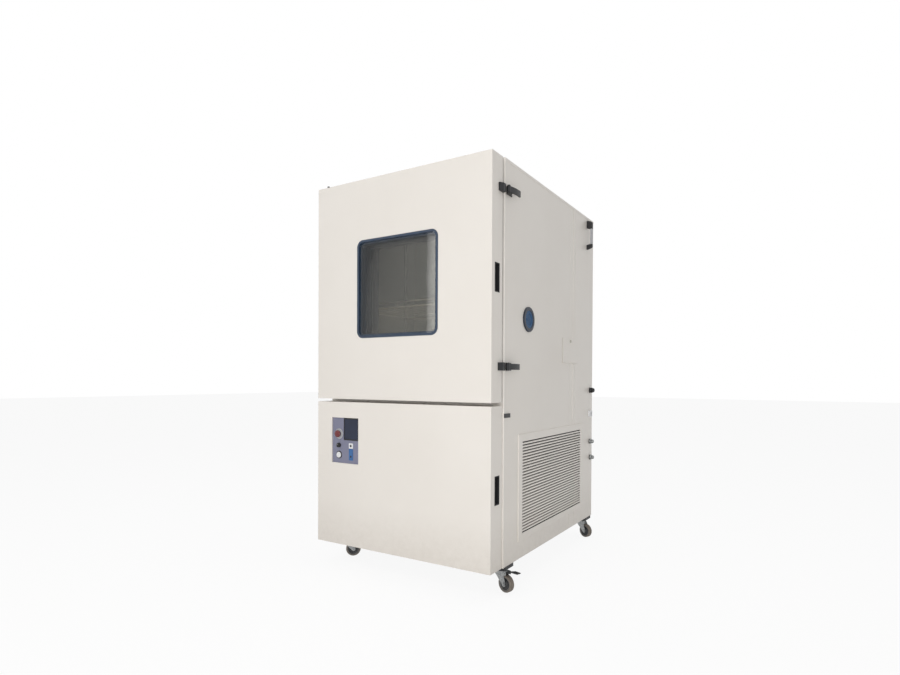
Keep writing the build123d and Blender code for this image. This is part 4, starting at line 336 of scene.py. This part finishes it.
# which finish each node of the frame takes
finishes = {
    powderCoatedSteel: ["front_frame", "side_panel_left", "side_panel_right", "roof_panel",
                        "rear_panel", "upper_door_shell", "lower_door_shell", "side_grille",
                        "access_hatch"],
    brushedStainless: ["chamber_liner", "air_baffle", "upper_door_liner", "humidifier_tank",
                       "circulation_fan"],
    drawnWire: ["wire_shelf"],
    rolledAluminium: ["air_coils"],
    coatedFins: ["condenser_coil"],
    anodisedSpacer: ["window_spacers"],
    galvanisedSheet: ["inner_partition", "base_pan", "control_gear", "condenser_shroud"],
    cutFoam: ["chamber_insulation", "upper_door_insulation"],
    navyEnamel: ["window_frame"],
    navyPlastic: ["port_flange"],
    blueSilicone: ["port_plug"],
    blackSilicone: ["door_gasket"],
    blackEnamel: ["cabinet_fittings", "upper_door_fittings", "lower_door_hinges",
                  "lower_latch_handle", "upper_latch_handle", "condenser_fan"],
    mouldedNylon: ["upper_handle_pocket", "lower_handle_pocket", "rear_grab_handle",
                   "castor_mounts", "selector_knob", "brake_pedal_front_left",
                   "brake_pedal_front_right"],
    machineEnamel: ["fan_motor", "compressor"],
    greyPaintedPlate: ["control_plate"],
    screenGlass: ["touch_screen"],
    greyAbs: ["control_bezels", "push_button"],
    redAbs: ["emergency_stop"],
    zincPlatedSteel: ["hatch_lock", "rear_screws", "side_connectors"],
    passivatedZinc: ["castor_fork_front_left", "castor_fork_front_right",
                     "castor_fork_rear_left", "castor_fork_rear_right"],
    castorNylon: ["castor_wheel_front_left", "castor_wheel_front_right",
                  "castor_wheel_rear_left", "castor_wheel_rear_right"],
    floatGlass: ["window_panes"],
}
for finish, names in finishes.items():
    for name in names:
        nodes[name].data.materials.clear()
        nodes[name].data.materials.append(finish)


# a finished mesh becomes a piece that rides on a body
def makePiece(name, mesh, materials, body):
    data = bpy.data.meshes.new(name)
    mesh.to_mesh(data)
    mesh.free()
    piece = bpy.data.objects.new(name, data)
    bpy.context.scene.collection.objects.link(piece)
    for material in materials:
        data.materials.append(material)
    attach(piece, body)
    return piece


# a profile of (out along the axis, radius, material number) turned about an axis, with its ends closed
def spinProfile(mesh, profile, centre, axis, steps=48):
    turn = Vector((1, 0, 0)).rotation_difference(Vector(axis)).to_matrix().to_4x4()
    place = Matrix.Translation(centre) @ turn
    rings = []
    for out, radius, _ in profile:
        ring = []
        for step in range(steps):
            angle = 2 * math.pi * step / steps
            spot = Vector((out, radius * math.cos(angle), radius * math.sin(angle)))
            ring.append(mesh.verts.new(place @ spot))
        rings.append(ring)
    for index in range(len(profile) - 1):
        for step in range(steps):
            after = (step + 1) % steps
            face = mesh.faces.new((rings[index][step], rings[index][after],
                                   rings[index + 1][after], rings[index + 1][step]))
            face.material_index = profile[index][2]
            face.smooth = True
    mesh.faces.new(rings[0][::-1]).material_index = profile[0][2]
    mesh.faces.new(rings[-1]).material_index = profile[-1][2]


# a skin over rings of equal length, closed at both ends
def skinRings(mesh, rings, number=0, lastNumber=None):
    for first, second in zip(rings, rings[1:]):
        for step in range(len(first)):
            after = (step + 1) % len(first)
            face = mesh.faces.new((first[step], first[after], second[after], second[step]))
            face.material_index = number
    mesh.faces.new(rings[0][::-1]).material_index = number
    mesh.faces.new(rings[-1]).material_index = number if lastNumber is None else lastNumber


def roundedOutline(width, height, corner, steps=8):
    points = []
    for quarter, (signX, signZ) in enumerate(((1, 1), (-1, 1), (-1, -1), (1, -1))):
        for step in range(steps + 1):
            angle = math.pi / 2 * (quarter + step / steps)
            points.append((signX * (width / 2 - corner) + corner * math.cos(angle),
                           signZ * (height / 2 - corner) + corner * math.sin(angle)))
    return points


# castor wheels: tread 0, disc and hub 1, light ring 2, in place of the plain turned wheels
castorLook = {
    "rise": 0.040, "trail": 0.037, "steps": 56,
    "halfSection": [
        (0.0150, 0.0042, 1), (0.0150, 0.0115, 1), (0.0140, 0.0125, 1), (0.0100, 0.0155, 1),
        (0.0095, 0.0262, 1), (0.0108, 0.0270, 2), (0.0134, 0.0300, 2), (0.0134, 0.0326, 2),
        (0.0130, 0.0332, 0), (0.0138, 0.0342, 0), (0.0136, 0.0364, 0), (0.0114, 0.0389, 0),
        (0.0080, 0.0398, 0)],
    "spots": {"front_left": (-0.479, -0.4895, 42.0), "front_right": (0.479, -0.4895, -17.0),
              "rear_left": (-0.479, 0.6125, 163.0), "rear_right": (0.479, 0.6125, -22.0)},
}


def makeCastorWheel(name, look):
    x, y, swivel = look["spots"][name]
    turn = math.radians(swivel)
    along = Vector((math.cos(turn), math.sin(turn), 0))
    over = Vector((math.sin(turn), -math.cos(turn), 0))
    centre = Vector((x, y, look["rise"])) + along * look["trail"]
    half = look["halfSection"]
    profile = [(-out, radius, number) for out, radius, number in half]
    numbers = [number for _, _, number in half[::-1]][1:] + [half[0][2]]
    profile += [(out, radius, number) for (out, radius, _), number in zip(half[::-1], numbers)]
    mesh = bmesh.new()
    spinProfile(mesh, profile, centre, over, look["steps"])
    piece = makePiece("castorWheel_" + name, mesh, [castTread, castorNylon, castorRing],
                      "castor_wheel_" + name)
    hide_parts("castor_wheel_" + name)


for castorName in castorLook["spots"]:
    makeCastorWheel(castorName, castorLook)
print("castor wheels made")

# window panes: six rounded sheets of float glass in place of the plain blocks
paneLook = {"count": 6, "corner": 0.024, "thickness": 0.005}


def makePanes(look):
    low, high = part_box("window_panes")
    middleX, middleZ = (low.x + high.x) / 2, (low.z + high.z) / 2
    pitch = (high.y - low.y - look["thickness"]) / (look["count"] - 1)
    mesh = bmesh.new()
    for pane in range(look["count"]):
        y = low.y + pane * pitch + look["thickness"] / 2
        ring = [mesh.verts.new((middleX + x, y, middleZ + z))
                for x, z in roundedOutline(high.x - low.x, high.z - low.z, look["corner"])]
        mesh.faces.new(ring)
    piece = makePiece("windowPanes", mesh, [floatGlass], "upper_door")
    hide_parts("window_panes")


makePanes(paneLook)
print("window panes made")


leastCorner = 0.0003  # keeps the corner points of a chamfered plate apart


# a plate with chamfered front edges; inset is (margin, depth, corner, material number) of its sunk field
def addPlate(mesh, spot, size, corner, depths, chamfer, number, inset=None):
    front, back = depths
    cut = (size[0] - 2 * chamfer, size[1] - 2 * chamfer)
    shapes = [(size, corner, back), (size, corner, front + chamfer),
              (cut, max(corner - chamfer, leastCorner), front)]
    if inset:
        margin, sink, innerCorner, _ = inset
        inner = (size[0] - 2 * margin, size[1] - 2 * margin)
        shapes += [(inner, innerCorner, front), (inner, innerCorner, front + sink)]
    rings = []
    for (width, height), rounding, y in shapes:
        rings.append([mesh.verts.new((spot[0] + x, y, spot[1] + z))
                      for x, z in roundedOutline(width, height, rounding, 5)])
    skinRings(mesh, rings, number, inset[3] if inset else number)


# control field on the lower door: where each device stands on the plate, as (x, z)
plateY = -0.6595
deviceSpots = {"stop": (-0.375, 0.696), "knob": (-0.375, 0.637), "button": (-0.375, 0.587),
               "socket": (-0.294, 0.637), "limiter": (-0.294, 0.592), "screen": (-0.291, 0.722)}
# turned shapes are given as (out from the plate, radius, material number)
bezelLook = {
    "collar": [(0, 0.0092, 0), (0, 0.027, 0), (0.0018, 0.027, 0), (0.0027, 0.0261, 0),
               (0.0029, 0.0245, 0), (0.0029, 0.0092, 0)],
    "ring": [(0, 0.0153, 1), (0, 0.019, 1), (0.0020, 0.019, 1), (0.0029, 0.0181, 1),
             (0.0029, 0.0166, 1), (0.0022, 0.0153, 1)],
    "socketHole": [(0.0024, 0.0086, 2), (0.0030, 0.0082, 2), (0.0030, 0.0064, 1),
                   (0.0026, 0.0058, 1)],
    "dial": [(0.0024, 0.0058, 1), (0.0031, 0.0055, 1), (0.0031, 0.0034, 1), (0.0026, 0.0030, 1)],
    "socketSize": (0.027, 0.027), "limiterSize": (0.027, 0.058), "proud": 0.0025,
    "corner": 0.002, "chamfer": 0.0005, "dialDrop": 0.010, "fineSteps": 32,
    "socketTail": (0.0185, 0.0185), "limiterTail": (0.0185, 0.0495), "tailDepth": 0.020,
    "tailCorner": 0.001, "tailChamfer": 0.0003,
}
screenLook = {"size": (0.102, 0.114), "corner": 0.004, "chamfer": 0.0014,
              "field": (0.006, 0.0012, 0.002, 1),
              "tail": (0.085, 0.097), "tailCorner": 0.002, "tailChamfer": 0.0005, "tailDepth": 0.037}
stopLook = {"head": [(-0.0105, 0.0088, 1), (0.0090, 0.0088, 1), (0.0090, 0.0166, 0),
                     (0.0098, 0.0181, 0), (0.0122, 0.0189, 0), (0.0150, 0.0187, 0),
                     (0.0172, 0.0172, 0), (0.0187, 0.0142, 0), (0.0196, 0.0095, 0),
                     (0.0199, 0.0045, 0), (0.0199, 0.0008, 0)]}
knobLook = {"body": [(-0.0105, 0.0038, 0), (0.0004, 0.0038, 0), (0.0004, 0.0119, 0),
                     (0.0030, 0.0119, 0), (0.0044, 0.0108, 0), (0.0118, 0.0104, 0),
                     (0.0128, 0.0094, 0), (0.0129, 0.0008, 0)],
            "grip": (0.005, 0.019), "gripCorner": 0.0022, "gripReach": (0.0168, 0.0120),
            "gripChamfer": 0.0006,
            "mark": (0.0013, 0.009), "markCorner": 0.0005, "markReach": (0.0170, 0.0166),
            "markChamfer": 0.0001, "markRise": 0.004}
buttonLook = {"cap": [(-0.0085, 0.0149, 0), (0.0052, 0.0149, 0), (0.0062, 0.0142, 0),
                      (0.0065, 0.0125, 0), (0.0062, 0.0090, 0), (0.0060, 0.0008, 0)]}
forward = (0, -1, 0)


def onPlate(name):
    return (deviceSpots[name][0], plateY, deviceSpots[name][1])


# collar of the stop, ring of the button, white socket and blue limiter with their tails in the door
def makeBezels(look):
    mesh = bmesh.new()
    spinProfile(mesh, look["collar"], onPlate("stop"), forward)
    spinProfile(mesh, look["ring"], onPlate("button"), forward)
    for name, number in (("socket", 2), ("limiter", 3)):
        addPlate(mesh, deviceSpots[name], look[name + "Size"], look["corner"],
                 (plateY - look["proud"], plateY), look["chamfer"], number)
        addPlate(mesh, deviceSpots[name], look[name + "Tail"], look["tailCorner"],
                 (plateY, plateY + look["tailDepth"]), look["tailChamfer"], 0)
    spinProfile(mesh, look["socketHole"], onPlate("socket"), forward, look["fineSteps"])
    x, y, z = onPlate("limiter")
    spinProfile(mesh, look["dial"], (x, y, z - look["dialDrop"]), forward, look["fineSteps"])
    piece = makePiece("controlBezels", mesh, [greyAbs, mouldedNylon, whiteAbs, blueAbs],
                      "lower_door")
    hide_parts("control_bezels")


def makeScreen(look):
    mesh = bmesh.new()
    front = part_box("touch_screen")[0].y
    addPlate(mesh, deviceSpots["screen"], look["size"], look["corner"], (front, plateY),
             look["chamfer"], 0, look["field"])
    addPlate(mesh, deviceSpots["screen"], look["tail"], look["tailCorner"],
             (plateY, plateY + look["tailDepth"]), look["tailChamfer"], 0)
    piece = makePiece("touchScreen", mesh, [mouldedNylon, screenGlass], "lower_door")
    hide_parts("touch_screen")


def makeStop(look):
    mesh = bmesh.new()
    spinProfile(mesh, look["head"], onPlate("stop"), forward)
    piece = makePiece("emergencyStop", mesh, [redAbs, greyAbs], "emergency_stop")
    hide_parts("emergency_stop")


# the rotary switch: a turned body, a grip bar across it and a white mark on the bar
def makeKnob(look):
    x, z = deviceSpots["knob"]
    mesh = bmesh.new()
    spinProfile(mesh, look["body"], onPlate("knob"), forward)
    for part, rise, number in (("grip", 0.0, 0), ("mark", look["markRise"], 1)):
        reach = [plateY - out for out in look[part + "Reach"]]
        addPlate(mesh, (x, z + rise), look[part], look[part + "Corner"], reach,
                 look[part + "Chamfer"], number)
    piece = makePiece("selectorKnob", mesh, [mouldedNylon, whiteAbs], "selector_knob")
    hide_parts("selector_knob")


def makeButton(look):
    mesh = bmesh.new()
    spinProfile(mesh, look["cap"], onPlate("button"), forward)
    piece = makePiece("pushButton", mesh, [whiteAbs], "push_button")
    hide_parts("push_button")


makeBezels(bezelLook)
makeScreen(screenLook)
makeStop(stopLook)
makeKnob(knobLook)
makeButton(buttonLook)
print("control field made")

# connections at the rear edge of the right side: black gland 0, white data socket 1, plated fittings 2
wallX = 0.5245
connectorLook = {
    "gland": (0.6225, 0.916), "socket": (0.6155, 0.771),
    "fittings": ((0.6225, 0.597), (0.6285, 0.497)), "nutSteps": 6, "steps": 40,
    "glandNut": [(0, 0.0184, 0), (0.0136, 0.0184, 0), (0.0149, 0.0170, 0), (0.0149, 0.0130, 0)],
    "glandDome": [(0.0149, 0.0145, 0), (0.0200, 0.0143, 0), (0.0262, 0.0125, 0),
                  (0.0292, 0.0095, 0), (0.0298, 0.0062, 0), (0.0240, 0.0055, 0)],
    "fittingNut": [(0, 0.0169, 2), (0.0118, 0.0169, 2), (0.0129, 0.0157, 2), (0.0129, 0.0110, 2)],
    "hoseRoot": [(0.0129, 0.0102, 2)],
    "ridges": 3, "ridgeStart": 0.0134, "ridgePitch": 0.0036,
    "ridge": [(0, 0.0104, 2), (0.0005, 0.0119, 2), (0.0032, 0.0106, 2)],
    "hoseEnd": [(0.0252, 0.0104, 2), (0.0259, 0.0096, 2), (0.0259, 0.0072, 2), (0.0190, 0.0070, 3)],
    # the socket's rings as (out from the wall, half side), with its mouth sunk into it
    "socketRings": ((0, 0.0185), (0.0128, 0.0185), (0.0140, 0.0173), (0.0140, 0.0115),
                    (0.0050, 0.0110)),
    "socketCorner": 0.0025,
}


def makeConnectors(look):
    outward = (1, 0, 0)
    mesh = bmesh.new()
    gland = (wallX, *look["gland"])
    spinProfile(mesh, look["glandNut"], gland, outward, look["nutSteps"])
    spinProfile(mesh, look["glandDome"], gland, outward, look["steps"])
    hose = list(look["hoseRoot"])
    for ridge in range(look["ridges"]):
        start = look["ridgeStart"] + ridge * look["ridgePitch"]
        hose += [(start + out, radius, number) for out, radius, number in look["ridge"]]
    hose += look["hoseEnd"]
    for spot in look["fittings"]:
        spinProfile(mesh, look["fittingNut"], (wallX, *spot), outward, look["nutSteps"])
        spinProfile(mesh, hose, (wallX, *spot), outward, look["steps"])
    y, z = look["socket"]
    rings = []
    for out, half in look["socketRings"]:
        rings.append([mesh.verts.new((wallX + out, y + a, z + b))
                      for a, b in roundedOutline(2 * half, 2 * half, look["socketCorner"], 4)])
    skinRings(mesh, rings, 1, 0)
    piece = makePiece("sideConnectors", mesh,
                      [mouldedNylon, whiteAbs, passivatedZinc, blackSilicone],
                      "cabinet")
    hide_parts("side_connectors")


makeConnectors(connectorLook)
print("connectors made")

# grab handle: two black feet and a pale grip between them; outlines are (out from the wall, rise)
grabLook = {
    "y": 0.5545, "z": (1.780, 1.955), "reach": 0.034, "width": 0.022, "clear": 0.0004,
    "feet": {"upper": 0.052, "lower": 0.030}, "footSlope": 0.86, "bar": 0.012, "edge": 0.0016,
    "seat": 0.001,  # points this near the wall keep their place
    "shoulder": ((0.010, 0.006), (0.003, 0.010), (0.0, 0.017)),  # (inside the face, in from the end)
    "gripLap": 0.002, "gripSink": 0.0006, "gripNarrow": 0.0012,
}


def makeGrabHandle(look):
    face = wallX + look["reach"] - look["clear"]
    inner = face - look["bar"]
    low, high = look["z"]
    half = look["width"] / 2 - look["clear"]
    edge = look["edge"]
    mesh = bmesh.new()

    def addBow(outline, number, side):
        middleX = sum(x for x, z in outline) / len(outline)
        middleZ = sum(z for x, z in outline) / len(outline)
        rings = []
        for y, shrink in ((-side, edge), (-side + edge, 0.0), (side - edge, 0.0), (side, edge)):
            ring = []
            for x, z in outline:
                stepX = math.copysign(shrink, middleX - x) if x > wallX + look["seat"] else 0.0
                stepZ = math.copysign(shrink, middleZ - z)
                ring.append(mesh.verts.new((x + stepX, look["y"] + y, z + stepZ)))
            rings.append(ring)
        skinRings(mesh, rings, number)

    for end, inward, foot in ((high, -1, look["feet"]["upper"]), (low, 1, look["feet"]["lower"])):
        outline = [(wallX, end)]
        outline += [(face - inside, end + inward * along) for inside, along in look["shoulder"]]
        outline += [(face, end + inward * foot), (inner, end + inward * foot),
                    (wallX, end + inward * foot * look["footSlope"])]
        addBow(outline if inward > 0 else outline[::-1], 0, half)
    start = low + look["feet"]["lower"] - look["gripLap"]
    stop = high - look["feet"]["upper"] + look["gripLap"]
    gripX = (inner + look["gripSink"], face - look["gripSink"])
    outline = [(gripX[0], start), (gripX[1], start), (gripX[1], stop), (gripX[0], stop)]
    addBow(outline, 1, half - look["gripNarrow"])
    piece = makePiece("rearGrabHandle", mesh, [mouldedNylon, greyAbs], "cabinet")
    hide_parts("rear_grab_handle")


makeGrabHandle(grabLook)
print("grab handle made")

# filter mat between the side grille and the condenser; its dark felt is also a sheet of painted shade
# behind the grille's slots
filterShadeLook = {"gap": 0.011, "thick": 0.006, "inset": 0.028, "corner": 0.004}


def makeFilterShadeMat(look):
    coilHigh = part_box("condenser_coil")[1]
    low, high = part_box("side_grille")
    x, thick, edge = coilHigh.x + look["gap"], look["thick"], look["thick"] / 4
    width, height = high.y - low.y - 2 * look["inset"], high.z - low.z - 2 * look["inset"]
    middleY, middleZ = (low.y + high.y) / 2, (low.z + high.z) / 2
    mesh = bmesh.new()
    rings = []
    for depth, shrink in ((0.0, edge), (edge, 0.0), (thick - edge, 0.0), (thick, edge)):
        outline = roundedOutline(width - 2 * shrink, height - 2 * shrink, look["corner"], 4)
        rings.append([mesh.verts.new((x + depth, middleY + y, middleZ + z)) for y, z in outline])
    skinRings(mesh, rings)
    makePiece("grilleFilterShade", mesh, [feltSlotShade], "cabinet")


makeFilterShadeMat(filterShadeLook)
print("filter mat made")

# studio: pale floor, soft lamps, white seen behind everything
studioLook = {
    "floorSize": 60.0, "floorTone": "#FFFFFF", "floorRough": 0.9, "floorShine": 0.1,
    "lamps": {
        "high": {"at": (-0.6, -4.6, 5.0), "aim": (0.1, -0.6, 0.9), "size": (2.6, 1.8), "watts": 58},
        "low": {"at": (1.9, -4.6, 1.0), "aim": (0.1, -0.6, 0.8), "size": (2.2, 1.4), "watts": 62},
        "side": {"at": (3.6, -3.2, 2.4), "aim": (0.5, -0.5, 1.0), "size": (2.0, 2.0), "watts": 5},
        "top": {"at": (0.2, 0.4, 4.6), "aim": (0, 0, 1.0), "size": (3.0, 3.0), "watts": 36},
        "strip": {"at": (-2.0, -3.9, 2.1), "aim": (0, -0.6, 1.5), "size": (0.12, 1.3),
                  "watts": 0.9},
        "chamber": {"at": (0, -0.22, 0.99), "aim": (0, -0.22, 1.60), "size": (0.78, 0.5),
                    "watts": 1.3, "tint": "#FFEBD2", "unseen": True},  # lies on the chamber's floor
    },
    "world": 0.42, "floorGlow": 0.9,
}


# 1 where the camera sees a surface straight, in a reflection or through glass, and 0 for its light
def addSeenShare(owner):
    rays = addNode(owner, "ShaderNodeLightPath")
    seen = addNode(owner, "ShaderNodeMath", {"operation": "MAXIMUM"},
                   {0: (rays, "Is Camera Ray"), 1: (rays, "Is Glossy Ray")})
    return addNode(owner, "ShaderNodeMath", {"operation": "MAXIMUM"},
                   {0: (seen, "Value"), 1: (rays, "Is Transmission Ray")})


def makeFloor(look):
    half = look["floorSize"] / 2
    mesh = bmesh.new()
    mesh.faces.new([mesh.verts.new((x, y, 0))
                    for x, y in ((-half, -half), (half, -half), (half, half), (-half, half))])
    data = bpy.data.meshes.new("floor")
    mesh.to_mesh(data)
    mesh.free()
    floor = bpy.data.objects.new("floor", data)
    bpy.context.scene.collection.objects.link(floor)
    material, shader = newMaterial("paleStudioFloor", {
        "Base Color": linearColour(look["floorTone"]), "Roughness": look["floorRough"],
        "Specular IOR Level": look["floorShine"]})
    share = addNode(material, "ShaderNodeMath", {"operation": "MULTIPLY", 1: look["floorGlow"]},
                    {0: (addSeenShare(material), "Value")})
    glow = addNode(material, "ShaderNodeEmission", {"Color": (1, 1, 1, 1), "Strength": 1.0})
    both = addNode(material, "ShaderNodeMixShader", {},
                   {0: (share, "Value"), 1: (shader, "BSDF"), 2: (glow, "Emission")})
    joinSocket(material, both, "Shader", material.node_tree.nodes["Material Output"], "Surface")
    data.materials.append(material)


def makeLamp(name, settings):
    lamp = bpy.data.lights.new(name + "Lamp", "AREA")
    lamp.shape = "RECTANGLE"
    lamp.size, lamp.size_y = settings["size"]
    lamp.energy = settings["watts"]
    lamp.color = linearColour(settings.get("tint", "#FFFFFF"))[:3]
    holder = bpy.data.objects.new(name + "Lamp", lamp)
    holder.location = settings["at"]
    holder.visible_camera = not settings.get("unseen", False)
    aim = Vector(settings["aim"]) - Vector(settings["at"])
    holder.rotation_euler = aim.to_track_quat("-Z", "Y").to_euler()
    bpy.context.scene.collection.objects.link(holder)


def makeSky(look):
    world = bpy.data.worlds.new("studioSky")
    bpy.context.scene.world = world
    world.use_nodes = True
    background = world.node_tree.nodes["Background"]
    background.inputs["Color"].default_value = (1, 1, 1, 1)
    level = addNode(world, "ShaderNodeMapRange", {"To Min": look["world"], "To Max": 1.0},
                    {"Value": (addSeenShare(world), "Value")})
    joinSocket(world, level, "Result", background, "Strength")


makeFloor(studioLook)
for lampName, lampSettings in studioLook["lamps"].items():
    makeLamp(lampName, lampSettings)
makeSky(studioLook)
print("studio made")

# camera at the photograph's viewing place; focal length and middle are in pixels of the 900 x 675 image
cameraLook = {
    "at": (1.6926, -2.8468, 0.9789), "yaw": 31.85, "pitch": -0.65, "roll": -0.26,
    "focal": 569.4, "middle": (455.7, 386.0), "image": (900, 675), "sensor": 36.0, "farthest": 200.0,
}


def makeCamera(look):
    yaw, pitch, roll = (math.radians(look[key]) for key in ("yaw", "pitch", "roll"))
    ahead = Vector((-math.sin(yaw) * math.cos(pitch), math.cos(yaw) * math.cos(pitch),
                    math.sin(pitch)))
    right = Vector((math.cos(yaw), math.sin(yaw), 0))
    down = -right.cross(ahead)
    tiltedRight = right * math.cos(roll) + down * math.sin(roll)
    tiltedDown = down * math.cos(roll) - right * math.sin(roll)
    data = bpy.data.cameras.new("photoCamera")
    width, height = look["image"]
    data.sensor_width = look["sensor"]
    data.lens = look["focal"] / width * look["sensor"]
    data.shift_x = -(look["middle"][0] - width / 2) / width
    data.shift_y = (look["middle"][1] - height / 2) / width
    data.clip_end = look["farthest"]
    camera = bpy.data.objects.new("photoCamera", data)
    turn = Matrix((tiltedRight, -tiltedDown, -ahead)).transposed().to_4x4()
    camera.matrix_world = Matrix.Translation(look["at"]) @ turn
    bpy.context.scene.collection.objects.link(camera)
    bpy.context.scene.camera = camera


makeCamera(cameraLook)
bpy.context.scene.view_settings.view_transform = "Standard"
print("camera set")
